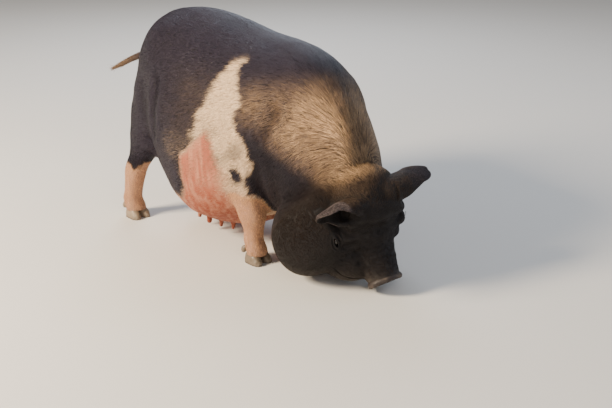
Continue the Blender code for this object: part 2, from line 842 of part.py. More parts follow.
def ear_ring(shape, t, widths):
    """Points across the ear at a share of its length, on an arc that opens from its root to its middle."""
    free = max(t, 0.0)
    widening = math.sin(math.pi / 2 * min(1.0, 2 * free))
    width = shape.half_width * (shape.root_width_share + (1 - shape.root_width_share) * widening)
    width = max(width * math.sqrt(1 - free**shape.tip_fullness), EAR_THICKNESS / 2)
    root_roll, open_roll = shape.roll
    roll = math.radians(root_roll + (open_roll - root_roll) * min(1.0, free / 0.55))
    radius = width / math.sin(min(roll, math.pi / 2))
    ring = []
    for turn in np.linspace(-roll, roll, widths + 1):
        fall = radius * (1 - math.cos(turn)) + shape.droop * free**2
        ring.append(Vector((shape.length * t, radius * math.sin(turn), -fall)))
    return ring


def ear(side):
    """A cupped leaf, rolled nearly to a tube where it leaves the head and open towards the tip."""
    shape = EARS[side]
    place = ear_place(shape)
    widths = 8
    bm = bmesh.new()
    grid = [
        [bm.verts.new(place @ point) for point in ear_ring(shape, t, widths)]
        for t in np.linspace(-EAR_SUNK_SHARE, 1, 12)
    ]
    for first, second in zip(grid, grid[1:]):
        for j in range(widths):
            bm.faces.new((first[j], first[j + 1], second[j + 1], second[j]))
    made = new_object("ear", bm)
    wall = made.modifiers.new("Solidify", "SOLIDIFY")
    wall.thickness = EAR_THICKNESS
    wall.offset = 0
    apply_modifiers(made)
    return made


# Feet, tail and udder

def claw(place):
    """One hoof: a flat sole, a sloping front wall and a rounded toe. X runs to the toe."""
    rings = []
    for along, width, rise in (
        (-0.48, 0.55, 0.62),
        (-0.38, 0.90, 0.90),
        (-0.12, 1.00, 1.00),
        (0.18, 0.97, 0.78),
        (0.38, 0.76, 0.52),
        (0.50, 0.40, 0.28),
    ):
        ring = []
        for t in np.linspace(0, 2 * math.pi, 12, endpoint=False):
            side, up = superellipse(t, 0.75)
            local = (along * CLAW_LENGTH, CLAW_HALF_WIDTH * width * side, CLAW_HEIGHT * rise * max(0.0, up))
            ring.append(place @ Vector(local))
        rings.append(ring)
    bm = bmesh.new()
    skin_rings(bm, rings)
    bmesh.ops.dissolve_degenerate(bm, edges=bm.edges, dist=1e-6)
    return new_object("claw", bm)


def foot_pieces(nodes, leg, middle, label):
    """Two main claws on the floor and two dewclaws behind, and the leg trimmed to them."""
    made = []
    side = math.copysign(1, middle.y)
    for half, word in ((1, "outer"), (-1, "inner")):
        outwards = half * side
        shift = Vector((0.016, outwards * (CLAW_HALF_WIDTH + 0.0012), 0))
        place = Matrix.Translation(middle + shift) @ Matrix.Rotation(math.radians(5) * outwards, 4, "Z")
        hoof = claw(place)
        nodes[f"hoof_{label}_{word}"] = hoof
        place = (
            Matrix.Translation(middle + Vector((-0.034, outwards * 0.0175, 0.026)))
            @ Matrix.Rotation(math.radians(12) * outwards, 4, "Z")
            @ Matrix.Rotation(math.radians(38), 4, "Y")
        )
        radii = (0.0095, 0.0088, DEWCLAW_LENGTH / 2)
        dew = ellipsoid("dewclaw", (0, 0, 0.014), radii, matrix=place, segments=8)
        nodes[f"dewclaw_{label}_{word}"] = dew
        made += [hoof, dew]
    trim(leg, *made)


def tail():
    """A thin straight tail swung out to the animal's right, thicker at its root."""
    root = Vector((RUMP_X + 0.016, 0.004, 0.552))
    tip = Vector((-0.568, -0.136, 0.447))
    bow = Vector((-0.010, 0.012, 0.008))
    stations = []
    for share, width in ((0.0, 1.15), (0.10, 1.0), (0.28, 0.66), (0.50, 0.52), (0.70, 0.42), (0.76, 0.16)):
        place = root.lerp(tip, share) + bow * math.sin(math.pi * share)
        stations.append((*place, TAIL_RADIUS * width))
    made = bent_tube("tail", stations, 10, 3)
    unite(made, tail_brush(root + bow, tip))
    return made


def teats(torso):
    """Two rows of teats on the belly, each a blunt cone with its root sunk in."""
    made = []
    rows = ((0.012, 1.5), (0.002, 1.25), (-0.4, 0.85), (-0.85, 0.72), (-1.0, 0.40))
    for side, _ in SIDES:
        for i in range(TEATS_A_SIDE):
            start = Vector((-0.195 + 0.054 * i, side * (0.086 - 0.004 * abs(i - 2)), 0.30))
            point, _ = surface_point(torso, start, Vector((0, 0, -1)))
            stations = []
            for level, width in rows:
                z = level * TEAT_LENGTH if level < 0 else level
                stations.append((point.x, point.y - side * 0.1 * z, point.z + z, TEAT_RADIUS * width))
            made.append(bent_tube("teat", stations, 8, 1))
    return made


def centre_on_floor(objects):
    """Moves everything so that the origin is the middle of the floor under the animal."""
    corners = np.array([v.co for obj in objects for v in obj.data.vertices])
    low, high = corners.min(axis=0), corners.max(axis=0)
    shift = Matrix.Translation((-(low[0] + high[0]) / 2, -(low[1] + high[1]) / 2, -low[2]))
    for obj in objects:
        obj.data.transform(shift)


def finish_of(name):
    """The finish that a node is made in."""
    starts = (("eye", "eye"), ("hoof", "horn"), ("dewclaw", "horn"), ("snout", "snout_hide"))
    for start, finish_name in starts:
        if name.startswith(start):
            return finish_name
    return "pink_hide" if "leg" in name else "black_hide"


def main():
    for obj in list(bpy.data.objects):
        bpy.data.objects.remove(obj, do_unlink=True)
    body = fused_body()
    unite(body, bristles(body))
    nodes = part_body(body)
    nodes.update(add_face(nodes["head"]))
    nodes["snout_disc"] = snout_disc()
    trim(nodes["snout_disc"], nodes["head"])
    for side, word in SIDES:
        nodes["ear_" + word] = ear(side)
        trim(nodes["ear_" + word], nodes["head"])
    for name, foot in foot_places().items():
        foot_pieces(nodes, nodes[name], foot, name.replace("leg", ""))
    unite(nodes["torso"], teats(nodes["torso"]))
    nodes["tail"] = tail()
    trim(nodes["tail"], nodes["torso"])
    for name, node in nodes.items():
        finish(node, name, finish_of(name))
    centre_on_floor(list(nodes.values()))


main()
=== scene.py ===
"""A pot-bellied sow, black with a white belt, as a still, life-size model with its snout to the ground.

One skin stands for all flesh. It is fused from lofts and masses, smoothed and creased, and carries a coat of
solid tufts that follow the lie of the hair. Eyes, snout disc and hooves are pieces of their own.
Body places are written in the maker's frame, whose X runs forward from between the legs, and each finished
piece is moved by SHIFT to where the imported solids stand. Lengths are in metres.
"""

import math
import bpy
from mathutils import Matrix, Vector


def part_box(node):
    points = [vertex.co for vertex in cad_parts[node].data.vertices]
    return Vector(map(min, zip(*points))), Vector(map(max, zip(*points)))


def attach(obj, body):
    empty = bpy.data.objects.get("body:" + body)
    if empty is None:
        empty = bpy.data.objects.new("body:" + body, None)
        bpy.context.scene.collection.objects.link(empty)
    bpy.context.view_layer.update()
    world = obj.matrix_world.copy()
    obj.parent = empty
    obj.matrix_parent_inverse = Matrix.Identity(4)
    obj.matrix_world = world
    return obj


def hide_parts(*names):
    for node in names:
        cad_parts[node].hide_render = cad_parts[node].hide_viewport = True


bl_info = {
    "name": "Belted Sow",
    "version": (1, 0, 0),
    "blender": (4, 5, 0),
    "location": "View3D > Sidebar > Sow",
    "description": "Builds the skin, coat, eyes, snout, hooves and stage of a life-size belted sow",
    "category": "Add Mesh",
}

from typing import NamedTuple

import bpy
import numpy as np
from bpy.props import FloatProperty, FloatVectorProperty, IntProperty, PointerProperty
from mathutils import Euler, Matrix, Vector
from mathutils.bvhtree import BVHTree

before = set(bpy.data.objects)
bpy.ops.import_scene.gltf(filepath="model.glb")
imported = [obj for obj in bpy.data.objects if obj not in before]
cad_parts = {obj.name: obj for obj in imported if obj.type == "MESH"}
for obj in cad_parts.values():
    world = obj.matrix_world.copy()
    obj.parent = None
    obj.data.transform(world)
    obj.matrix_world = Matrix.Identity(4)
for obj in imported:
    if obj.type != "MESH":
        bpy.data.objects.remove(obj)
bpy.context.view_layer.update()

# Driving sizes of the body
RUMP_HEIGHT = 0.700
WITHERS_HEIGHT = 0.658
RUMP_X = -0.408
BELLY_HALF_WIDTH = 0.255
BELLY_CLEARANCE = 0.048
HIND_FOOT_X = -0.377
FORE_FOOT_X = HIND_FOOT_X + 0.575
FORE_TRACK_HALF = 0.150
HIND_TRACK_HALF = 0.173
LEFT_FORE_STEP = 0.045
LEFT_HIND_STEP = 0.035
SIDES = ((-1, "right"), (1, "left"))

# The head, hung from the skull's centre, muzzle down and turned to the animal's right
SKULL_CENTRE = Vector((0.533, -0.046, 0.274))
HEAD = (
    Matrix.Translation(SKULL_CENTRE)
    @ Matrix.Rotation(math.radians(6), 4, "X")
    @ Matrix.Rotation(math.radians(-12), 4, "Z")
    @ Matrix.Rotation(math.radians(69), 4, "Y")
)
HEAD_TURN = HEAD.to_3x3()
HEAD_PLANE = HEAD @ Matrix.Rotation(math.radians(-30), 4, "Y") @ Matrix.Translation((-0.052, 0, 0))
HEAD_LENGTH = 0.255
HEAD_HALF_WIDTH = 0.114
DISC_RADIUS = 0.050
DISC_THICKNESS = 0.022
DISC = HEAD @ Matrix.Translation((HEAD_LENGTH, 0, 0.008)) @ Matrix.Rotation(math.radians(-13), 4, "Y")
EAR_THICKNESS = 0.0054
EAR_SUNK_SHARE = 0.15


class Ear(NamedTuple):
    """How one ear stands: where it points, where its back faces, and its root in the head's frame.

    The roll is the degrees of arc on each side of its midrib, at the root and from its middle on.
    """

    along: tuple
    back: tuple
    root: tuple
    length: float
    half_width: float
    root_width_share: float
    roll: tuple
    droop: float
    tip_fullness: int


EARS = {
    -1: Ear(
        along=(0.05, -0.98, -0.04),
        back=(-0.70, 0.15, 0.70),
        root=(-0.002, -0.088, 0.052),
        length=0.120,
        half_width=0.037,
        root_width_share=0.86,
        roll=(150, 60),
        droop=0.010,
        tip_fullness=4,
    ),
    1: Ear(
        along=(0.10, 0.97, 0.14),
        back=(0.08, -0.45, 0.86),
        root=(-0.024, 0.078, 0.078),
        length=0.125,
        half_width=0.046,
        root_width_share=0.80,
        roll=(125, 45),
        droop=0.018,
        tip_fullness=5,
    ),
}

# Feet, tail and udder
CLAW_LENGTH = 0.066
CLAW_HALF_WIDTH = 0.0165
CLAW_HEIGHT = 0.040
DEWCLAW_LENGTH = 0.030
TAIL_RADIUS = 0.015
TAIL_ROOT = Vector((RUMP_X + 0.016, 0.004, 0.552))
TAIL_TIP = Vector((-0.568, -0.136, 0.447))
TAIL_BOW = Vector((-0.010, 0.012, 0.008))
TEAT_LENGTH = 0.026
TEAT_RADIUS = 0.0085
TEATS_A_SIDE = 6

# How deep the eyeball lies, and its slit's half length and half height as shares of its radius
EYE_DEPTH = 0.0022
EYE_SLIT = (1.25, 0.38)

# The lids' creases: level and breadth as shares of the eye's radius, and depth in metres
LID_CREASES = ((0.88, -0.0030, 0.17), (1.35, 0.0022, 0.30), (-0.80, -0.0018, 0.16), (-1.1, 0.0010, 0.22))
LASHES = 34
SKIN_TRIANGLES = 190000

# The camera of the view, in the maker's frame
CAMERA_PLACE = Vector((2.50, -2.23, 1.33))
CAMERA_TURN = (69.7, 0.0, 45.0)
CAMERA_LENS = 64.7


class SowSizes(bpy.types.PropertyGroup):
    """How fine the skin is and how deep its folds are."""

    voxel: FloatProperty(
        name="Skin grain", description="Cell size of the skin's remesh", default=0.0034, unit="LENGTH"
    )
    coat_depth: FloatProperty(
        name="Coat depth", description="How far the skin lies inside the solids",
        default=0.0028, unit="LENGTH",
    )
    fold_depth: FloatProperty(
        name="Fold depth", description="Depth of the deepest skin fold", default=0.010, unit="LENGTH"
    )


class SowCoat(bpy.types.PropertyGroup):
    """Length, breadth and number of the tufts."""

    hair_length: FloatProperty(
        name="Hair length", description="Length of a tuft on the flank", default=0.034, unit="LENGTH"
    )
    bristle_length: FloatProperty(
        name="Bristle length", description="Length of a tuft on the nape and along the back",
        default=0.044, unit="LENGTH",
    )
    tuft_width: FloatProperty(
        name="Tuft width", description="Width of a tuft on the flank", default=0.0014, unit="LENGTH"
    )
    per_area: IntProperty(
        name="Tufts per square metre", description="How many tufts grow on a square metre of flank",
        default=138000,
    )
    seed: IntProperty(name="Seed", description="Seed of every random draw of the coat", default=5)


class SowColours(bpy.types.PropertyGroup):
    """Colours of hide, hair and horn."""

    black_hair: FloatVectorProperty(
        name="Black hair", description="Colour of the dark coat near its root",
        default=(0.0215, 0.0175, 0.031), subtype="COLOR",
    )
    # Partly painted shade: the head's hair is darker than the body's for the shade that falls on the face
    face_hair_and_shade: FloatVectorProperty(
        name="Face hair", description="Colour of the hair on the head",
        default=(0.0165, 0.0080, 0.0060), subtype="COLOR",
    )
    brown_tip: FloatVectorProperty(
        name="Brown tip", description="Colour that the sun has given the hair of the flank",
        default=(0.13, 0.088, 0.056), subtype="COLOR",
    )
    # Painted sunlit sheen on the neck and shoulder hair; the same gold also tips the tail
    gold_sheen_tip: FloatVectorProperty(
        name="Gold tip", description="Colour that the sun has given the hair of neck and shoulder",
        default=(0.66, 0.42, 0.225), subtype="COLOR",
    )
    # Painted sunlight: the near ear's back is lighter for the light that falls on it
    sunlit_ear_back: FloatVectorProperty(
        name="Back of the ear", description="Colour of the hair on the back of the near ear",
        default=(0.2, 0.155, 0.145), subtype="COLOR",
    )
    white_hair: FloatVectorProperty(
        name="White hair", description="Colour of the belt's hair",
        default=(0.78, 0.57, 0.38), subtype="COLOR",
    )
    black_hide: FloatVectorProperty(
        name="Black hide", description="Colour of the skin under the dark coat",
        default=(0.006, 0.005, 0.0055), subtype="COLOR",
    )
    pink_hide: FloatVectorProperty(
        name="Pink hide", description="Colour of the skin on flank and belly",
        default=(0.31, 0.088, 0.050), subtype="COLOR",
    )
    mud: FloatVectorProperty(
        name="Mud", description="Colour of the dry earth on snout and feet",
        default=(0.17, 0.135, 0.105), subtype="COLOR",
    )
    horn: FloatVectorProperty(
        name="Horn", description="Colour of the claws", default=(0.33, 0.25, 0.17), subtype="COLOR"
    )
    floor: FloatVectorProperty(
        name="Floor", description="Colour of the plain floor", default=(0.72, 0.70, 0.67), subtype="COLOR"
    )


# Selecting, joining and reading meshes

def only(obj, *others):
    """Selects just these objects and makes the first one active."""
    bpy.ops.object.select_all(action="DESELECT")
    for each in (obj, *others):
        each.select_set(True)
    bpy.context.view_layer.objects.active = obj


def apply_modifier(obj, kind, **settings):
    """Puts one modifier on the object and applies it."""
    modifier = obj.modifiers.new(kind.title(), kind)
    for name, value in settings.items():
        setattr(modifier, name, value)
    only(obj)
    bpy.ops.object.modifier_apply(modifier=modifier.name)


def joined(pieces, name):
    """All the pieces as one object."""
    only(*pieces)
    bpy.ops.object.join()
    made = pieces[0]
    made.name = made.data.name = name
    return made


def remove(*pieces):
    for piece in pieces:
        bpy.data.objects.remove(piece, do_unlink=True)


def numbers(items, field, kind=np.float32):
    """Three numbers for each item of a mesh, as rows."""
    values = np.empty(len(items) * 3, kind)
    items.foreach_get(field, values)
    return values.reshape(-1, 3)


def points_of(obj):
    return numbers(obj.data.vertices, "co").astype(float)


def normals_of(obj):
    return numbers(obj.data.vertex_normals, "vector").astype(float)


def triangles_of(obj):
    obj.data.calc_loop_triangles()
    return numbers(obj.data.loop_triangles, "vertices", np.int32)


def set_points(obj, points):
    obj.data.vertices.foreach_set("co", points.astype(np.float32).ravel())
    obj.data.update()


def weigh(obj, name, weights):
    """Stores one weight for each vertex in a vertex group, in a few even steps."""
    group = obj.vertex_groups.new(name=name)
    levels = np.round(np.clip(weights, 0, 1) * 40).astype(int)
    for level in range(1, 41):
        group.add(np.nonzero(levels == level)[0].tolist(), level / 40, "REPLACE")


def store(obj, name, values):
    """Stores one number for each vertex as a named attribute."""
    made = obj.data.attributes.new(name, "FLOAT", "POINT")
    made.data.foreach_set("value", np.asarray(values, np.float32))


def ramp(value, low, high):
    """0 at low and before, 1 at high and after, smooth between."""
    t = np.clip((value - low) / (high - low), 0, 1)
    return t * t * (3 - 2 * t)


def unit(vectors):
    return vectors / (np.linalg.norm(vectors, axis=-1, keepdims=True) + 1e-12)


def within(points, place):
    """The places as that frame measures them."""
    return (points - np.array(place.translation)) @ np.array(place.to_3x3())


def away_from(points, centre):
    return np.linalg.norm(points - np.array(centre), axis=1)


def ripple(points, scale, phase=0.0):
    """A smooth wandering value of about -1 to 1 over space, from a few crossed waves."""
    x, y, z = (points * scale).T
    waves = np.sin(x * 1.7 + 1.3 * np.sin(y * 1.1 + phase) + phase)
    waves += np.sin(z * 2.3 + 1.7 * np.sin(x * 0.9 - phase) + 2.1)
    waves += np.sin(y * 2.9 + 1.1 * np.sin(z * 1.9 + phase) + 0.7 * x)
    return waves / 2.2


# Shapes of the body

def smooth_rows(rows, steps):
    """Rows of numbers with steps rows for each interval, on a Catmull-Rom curve through the given ones."""
    rows = np.array(rows, float)
    padded = np.vstack([2 * rows[0] - rows[1], rows, 2 * rows[-1] - rows[-2]])
    made = []
    for i in range(len(rows) - 1):
        a, b, c, d = padded[i : i + 4]
        for t in np.arange(steps) / steps:
            square = 2 * a - 5 * b + 4 * c - d
            cube = 3 * b - a - 3 * c + d
            made.append(0.5 * (2 * b + (c - a) * t + square * t**2 + cube * t**3))
    made.append(rows[-1])
    return np.array(made)


def superellipse(turns, power):
    """Cosines and sines of turns, squared up by a power of 1 or less."""
    cosine, sine = np.cos(turns), np.sin(turns)
    return np.sign(cosine) * np.abs(cosine) ** power, np.sign(sine) * np.abs(sine) ** power


def new_piece(name, points, faces):
    """A mesh object of these points and faces, in the scene."""
    mesh = bpy.data.meshes.new(name)
    mesh.from_pydata(points, [], faces)
    made = bpy.data.objects.new(name, mesh)
    bpy.context.scene.collection.objects.link(made)
    return made


def tube(name, rings):
    """A closed tube through rings of equally many points, with flat ends."""
    rings = np.array(rings, float)
    count, sides = rings.shape[:2]
    faces = []
    for i in range(count - 1):
        for k in range(sides):
            j = (k + 1) % sides
            faces.append((i * sides + k, i * sides + j, (i + 1) * sides + j, (i + 1) * sides + k))
    faces.append(tuple(reversed(range(sides))))
    faces.append(tuple((count - 1) * sides + k for k in range(sides)))
    made = new_piece(name, rings.reshape(-1, 3).tolist(), faces)
    only(made)
    bpy.ops.object.mode_set(mode="EDIT")
    bpy.ops.mesh.select_all(action="SELECT")
    bpy.ops.mesh.normals_make_consistent(inside=False)
    bpy.ops.object.mode_set(mode="OBJECT")
    return made


def side_view_tube(name, stations, matrix=None, sides=48, steps=8):
    """A tube whose side view is given by pairs of top and bottom points.

    Each station is top x, top z, bottom x, bottom z, half width, level of the widest point, squareness
    and how far it sways to the left.
    """
    rings = []
    turns = np.linspace(0, 2 * math.pi, sides, endpoint=False)
    stations = [(*station, 0)[:8] for station in stations]
    for top_x, top_z, low_x, low_z, half_width, widest, power, sway in smooth_rows(stations, steps):
        top, low = np.array((top_x, 0, top_z)), np.array((low_x, 0, low_z))
        middle = low + (top - low) * widest
        side, rise = superellipse(turns, power)
        reach = np.where(rise[:, None] > 0, top - middle, middle - low) * rise[:, None]
        ring = middle + reach
        ring[:, 1] += sway + half_width * side
        rings.append(ring)
    made = tube(name, rings)
    if matrix:
        made.data.transform(matrix)
    return made


def limb_tube(name, stations, side):
    """A limb of level oval rings. Each station is x, y, z, half length along x, half width along y."""
    turns = np.linspace(0, 2 * math.pi, 36, endpoint=False)
    cosine, sine = np.cos(turns), np.sin(turns)
    rings = [
        np.column_stack([x + along * cosine, side * (y + across * sine), np.full(36, z)])
        for x, y, z, along, across in smooth_rows(stations, 8)
    ]
    return tube(name, rings)


def bent_tube(name, stations, sides, steps=8):
    """A round tube along a free path. Each station is x, y, z, radius."""
    rows = smooth_rows(stations, steps)
    points = [Vector(row[:3]) for row in rows]
    rings = []
    for i, row in enumerate(rows):
        ahead = points[min(i + 1, len(points) - 1)] - points[max(i - 1, 0)]
        turn = ahead.to_track_quat("Z", "Y").to_matrix()
        turns = np.linspace(0, 2 * math.pi, sides, endpoint=False)
        rings.append([points[i] + turn @ Vector((math.cos(t), math.sin(t), 0)) * row[3] for t in turns])
    return tube(name, rings)


def ellipsoid(name, centre, radii, turn=(0, 0, 0), matrix=None, segments=48):
    """A sphere of three radii, turned by angles in degrees."""
    place = Matrix.Translation(centre) @ Euler([math.radians(a) for a in turn]).to_matrix().to_4x4()
    place = (matrix @ place if matrix else place) @ Matrix.Diagonal((*radii, 1))
    bpy.ops.mesh.primitive_uv_sphere_add(segments=segments, ring_count=segments // 2, radius=1)
    made = bpy.context.active_object
    made.name = made.data.name = name
    made.data.transform(place)
    return made


def trunk():
    """Rump, barrel, pot belly, chest and the thick lowered neck, as one tube."""
    rump, withers, belly, width = RUMP_HEIGHT, WITHERS_HEIGHT, BELLY_CLEARANCE, BELLY_HALF_WIDTH
    stations = [
        (RUMP_X - 0.004, 0.540, RUMP_X + 0.004, 0.440, 0.045, 0.5, 1.0),
        (RUMP_X + 0.010, 0.602, RUMP_X + 0.016, 0.370, 0.100, 0.5, 0.95),
        (RUMP_X + 0.060, 0.666, RUMP_X + 0.065, 0.290, 0.152, 0.52, 0.92),
        (RUMP_X + 0.140, rump - 0.001, RUMP_X + 0.145, 0.205, 0.198, 0.52, 0.90),
        (RUMP_X + 0.230, rump, RUMP_X + 0.225, belly + 0.060, 0.230, 0.48, 0.88),
        (RUMP_X + 0.330, rump - 0.010, RUMP_X + 0.320, belly + 0.004, width, 0.42, 0.86),
        (RUMP_X + 0.440, rump - 0.033, RUMP_X + 0.430, belly + 0.008, width, 0.42, 0.86),
        (RUMP_X + 0.550, withers, RUMP_X + 0.550, belly + 0.052, 0.245, 0.46, 0.90),
        (RUMP_X + 0.650, withers - 0.014, RUMP_X + 0.650, belly + 0.095, 0.222, 0.50, 0.92),
        (RUMP_X + 0.739, withers - 0.048, RUMP_X + 0.735, belly + 0.095, 0.200, 0.50, 0.95, -0.006),
        (RUMP_X + 0.823, withers - 0.122, RUMP_X + 0.800, belly + 0.035, 0.182, 0.48, 0.97, -0.020),
        (RUMP_X + 0.892, withers - 0.200, RUMP_X + 0.865, belly - 0.010, 0.160, 0.44, 1.0, -0.034),
        (RUMP_X + 0.935, withers - 0.282, RUMP_X + 0.920, belly - 0.015, 0.130, 0.42, 1.0, -0.044),
        (RUMP_X + 0.965, withers - 0.340, RUMP_X + 0.965, belly, 0.100, 0.44, 1.0, -0.048),
    ]
    return side_view_tube("trunk", stations, sides=96)


def skull():
    """Cranium, steep brow and short dished muzzle, along the head's own axis."""
    length, width = HEAD_LENGTH, HEAD_HALF_WIDTH
    stations = [
        (-0.080, 0.040, -0.070, -0.070, 0.070, 0.5, 1.0),
        (-0.040, 0.084, -0.035, -0.095, 0.100, 0.5, 0.95),
        (0.020, 0.088, 0.020, -0.104, width, 0.52, 0.9),
        (0.066, 0.074, 0.070, -0.104, width * 0.97, 0.5, 0.9),
        (0.104, 0.048, 0.115, -0.098, width * 0.84, 0.45, 0.95),
        (0.145, 0.040, 0.160, -0.086, width * 0.64, 0.5, 0.95),
        (0.190, 0.045, 0.208, -0.066, width * 0.53, 0.5, 1.0),
        (length - 0.008, 0.056, length + 0.004, -0.042, DISC_RADIUS * 0.96, 0.5, 1.0),
    ]
    return side_view_tube("skull", stations, HEAD)


def masses():
    """Muscle and fat on trunk and head: shoulders, hams, udder, chin, brow, cheeks and jowls."""
    made = [
        ellipsoid("udder", (-0.060, 0, BELLY_CLEARANCE + 0.045), (0.200, 0.150, 0.048)),
        ellipsoid("chin", (0.512, -0.060, 0.088), (0.096, 0.095, 0.076)),
        ellipsoid("forehead", (0.046, 0, 0.066), (0.036, 0.084, 0.026), (0, 14, 0), HEAD),
    ]
    for side, _ in SIDES:
        made += [
            ellipsoid("shoulder", (0.190, side * 0.140, 0.380), (0.130, 0.095, 0.170), (0, 12, 0)),
            ellipsoid("elbow", (0.160, side * 0.150, 0.240), (0.080, 0.062, 0.080)),
            ellipsoid("ham", (-0.268, side * 0.114, 0.390), (0.106, 0.094, 0.180), (0, -6, 0)),
            ellipsoid("brow", (0.066, side * 0.066, 0.044), (0.032, 0.034, 0.022), (0, 12, side * -20), HEAD),
            ellipsoid("cheek", (0.08, side * 0.08, -0.034), (0.078, 0.044, 0.062), (0, 0, side * -16), HEAD),
            ellipsoid("jowl", (0.432, side * 0.094 - 0.040, 0.158), (0.122, 0.114, 0.146), (0, 28, 0)),
            ellipsoid("ear_root", (-0.028, 0, -0.030), (0.038, 0.034, 0.034), matrix=ear_place(side)),
        ]
    return made


def fore_step(side):
    return LEFT_FORE_STEP if side > 0 else 0.0


def hind_step(side):
    return LEFT_HIND_STEP if side > 0 else 0.0


def foreleg(side):
    """Upper arm, knee, cannon and pastern down to the coronet."""
    x, y = FORE_FOOT_X + fore_step(side), FORE_TRACK_HALF
    stations = [
        (FORE_FOOT_X - 0.045, y + 0.002, 0.360, 0.090, 0.060),
        (x - 0.036, y + 0.008, 0.250, 0.066, 0.055),
        (x - 0.018, y + 0.006, 0.190, 0.050, 0.046),
        (x - 0.004, y + 0.004, 0.140, 0.040, 0.039),
        (x - 0.002, y, 0.100, 0.031, 0.031),
        (x - 0.004, y, 0.070, 0.031, 0.033),
        (x + 0.008, y, 0.044, 0.031, 0.035),
        (x + 0.014, y, 0.024, 0.030, 0.034),
    ]
    return limb_tube("foreleg", stations, side)


def hindleg(side):
    """Thigh, hock, cannon and pastern down to the coronet."""
    x, y = HIND_FOOT_X + hind_step(side), HIND_TRACK_HALF
    stations = [
        (HIND_FOOT_X + 0.085, y - 0.044, 0.400, 0.096, 0.070),
        (HIND_FOOT_X + 0.070, y - 0.030, 0.300, 0.080, 0.060),
        (x + 0.046, y - 0.020, 0.235, 0.054, 0.046),
        (x + 0.018, y - 0.008, 0.180, 0.042, 0.039),
        (x + 0.008, y - 0.002, 0.130, 0.034, 0.033),
        (x, y, 0.090, 0.031, 0.032),
        (x - 0.006, y, 0.064, 0.033, 0.034),
        (x + 0.004, y, 0.042, 0.032, 0.036),
        (x + 0.012, y, 0.024, 0.031, 0.035),
    ]
    return limb_tube("hindleg", stations, side)


def foot_places():
    """The middle of each foot on the floor, with its side, by the label that its claws carry."""
    places = {}
    for side, word in SIDES:
        fore = Vector((FORE_FOOT_X + fore_step(side), side * FORE_TRACK_HALF, 0))
        hind = Vector((HIND_FOOT_X + hind_step(side), side * HIND_TRACK_HALF, 0))
        places["fore_" + word] = (fore, side)
        places["hind_" + word] = (hind, side)
    return places


def dewclaw_place(middle, outwards):
    """The frame of a dewclaw, with Z along it."""
    return (
        Matrix.Translation(middle + Vector((-0.034, outwards * 0.0175, 0.026)))
        @ Matrix.Rotation(math.radians(12) * outwards, 4, "Z")
        @ Matrix.Rotation(math.radians(38), 4, "Y")
    )


def frame_shift():
    """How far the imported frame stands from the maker's, read from one dewclaw of the solids."""
    low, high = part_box("dewclaw_fore_right_outer")
    middle, side = foot_places()["fore_right"]
    return (low + high) / 2 - dewclaw_place(middle, side) @ Vector((0, 0, 0.014))


SHIFT = frame_shift()


def in_maker_frame(node):
    """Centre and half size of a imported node's box, in the maker's frame."""
    low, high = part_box(node)
    return (low + high) / 2 - SHIFT, (high - low) / 2


def ear_place(side):
    """The frame of an ear: X along its midrib from the root, Z the way its back faces."""
    shape = EARS[side]
    along, back = Vector(shape.along).normalized(), Vector(shape.back)
    back = (back - along * along.dot(back)).normalized()
    place = Matrix((along, back.cross(along), back)).transposed().to_4x4()
    place.translation = HEAD @ Vector(shape.root)
    return place


def ear_ring(shape, t, widths):
    """Points across the ear at a share of its length, on an arc that opens from its root to its middle."""
    free = max(t, 0.0)
    widening = math.sin(math.pi / 2 * min(1.0, 2 * free))
    width = shape.half_width * (shape.root_width_share + (1 - shape.root_width_share) * widening)
    width = max(width * math.sqrt(1 - free**shape.tip_fullness), EAR_THICKNESS / 2)
    root_roll, open_roll = shape.roll
    roll = math.radians(root_roll + (open_roll - root_roll) * min(1.0, free / 0.55))
    radius = width / math.sin(min(roll, math.pi / 2))
    ring = []
    for turn in np.linspace(-roll, roll, widths + 1):
        fall = radius * (1 - math.cos(turn)) + shape.droop * free**2
        rim = 0.0016 * math.sin(5 * turn + 7 * t) * free
        ring.append(Vector((shape.length * t, radius * math.sin(turn), rim - fall)))
    return ring


def ear(side):
    """A cupped leaf, rolled nearly to a tube where it leaves the head and open towards the tip."""
    shape, place = EARS[side], ear_place(side)
    lengths, widths = 44, 28
    points, faces = [], []
    for t in np.linspace(-EAR_SUNK_SHARE, 1, lengths + 1):
        points += [tuple(place @ point) for point in ear_ring(shape, t, widths)]
    for i in range(lengths):
        for j in range(widths):
            a = i * (widths + 1) + j
            faces.append((a, a + 1, a + widths + 2, a + widths + 1))
    made = new_piece("ear", points, faces)
    apply_modifier(made, "SOLIDIFY", thickness=EAR_THICKNESS, offset=0)
    return made


def tail():
    """A thin straight tail swung out to the animal's right, thicker at its root."""
    stations = []
    shares = (-0.12, 0.0, 0.10, 0.28, 0.50, 0.74, 0.80)
    widths = (1.3, 1.15, 1.0, 0.66, 0.52, 0.40, 0.2)
    for share, width in zip(shares, widths):
        place = TAIL_ROOT.lerp(TAIL_TIP, share) + TAIL_BOW * math.sin(math.pi * max(share, 0))
        stations.append((*place, TAIL_RADIUS * width))
    return bent_tube("tail", stations, 20)


def teats(tree):
    """Two rows of teats on the belly, each a blunt cone with its root sunk in."""
    made = []
    rows = ((0.012, 1.5), (0.002, 1.25), (-0.4, 0.85), (-0.85, 0.72), (-1.0, 0.40))
    for side, _ in SIDES:
        for i in range(TEATS_A_SIDE):
            start = Vector((-0.195 + 0.054 * i, side * (0.086 - 0.004 * abs(i - 2)), 0.30))
            point = tree.ray_cast(start, Vector((0, 0, -1)))[0]
            stations = []
            for level, width in rows:
                z = level * TEAT_LENGTH if level < 0 else level
                stations.append((point.x, point.y - side * 0.1 * z, point.z + z, TEAT_RADIUS * width))
            made.append(bent_tube("teat", stations, 20, 4))
    return made


def tree_of(obj, shift=(0.0, 0.0, 0.0)):
    """The object's surface, moved back by the shift, for nearest points and rays."""
    points = points_of(obj) - np.array(shift)
    return BVHTree.FromPolygons(points.tolist(), triangles_of(obj).tolist(), all_triangles=True)


# Folds and creases of the skin

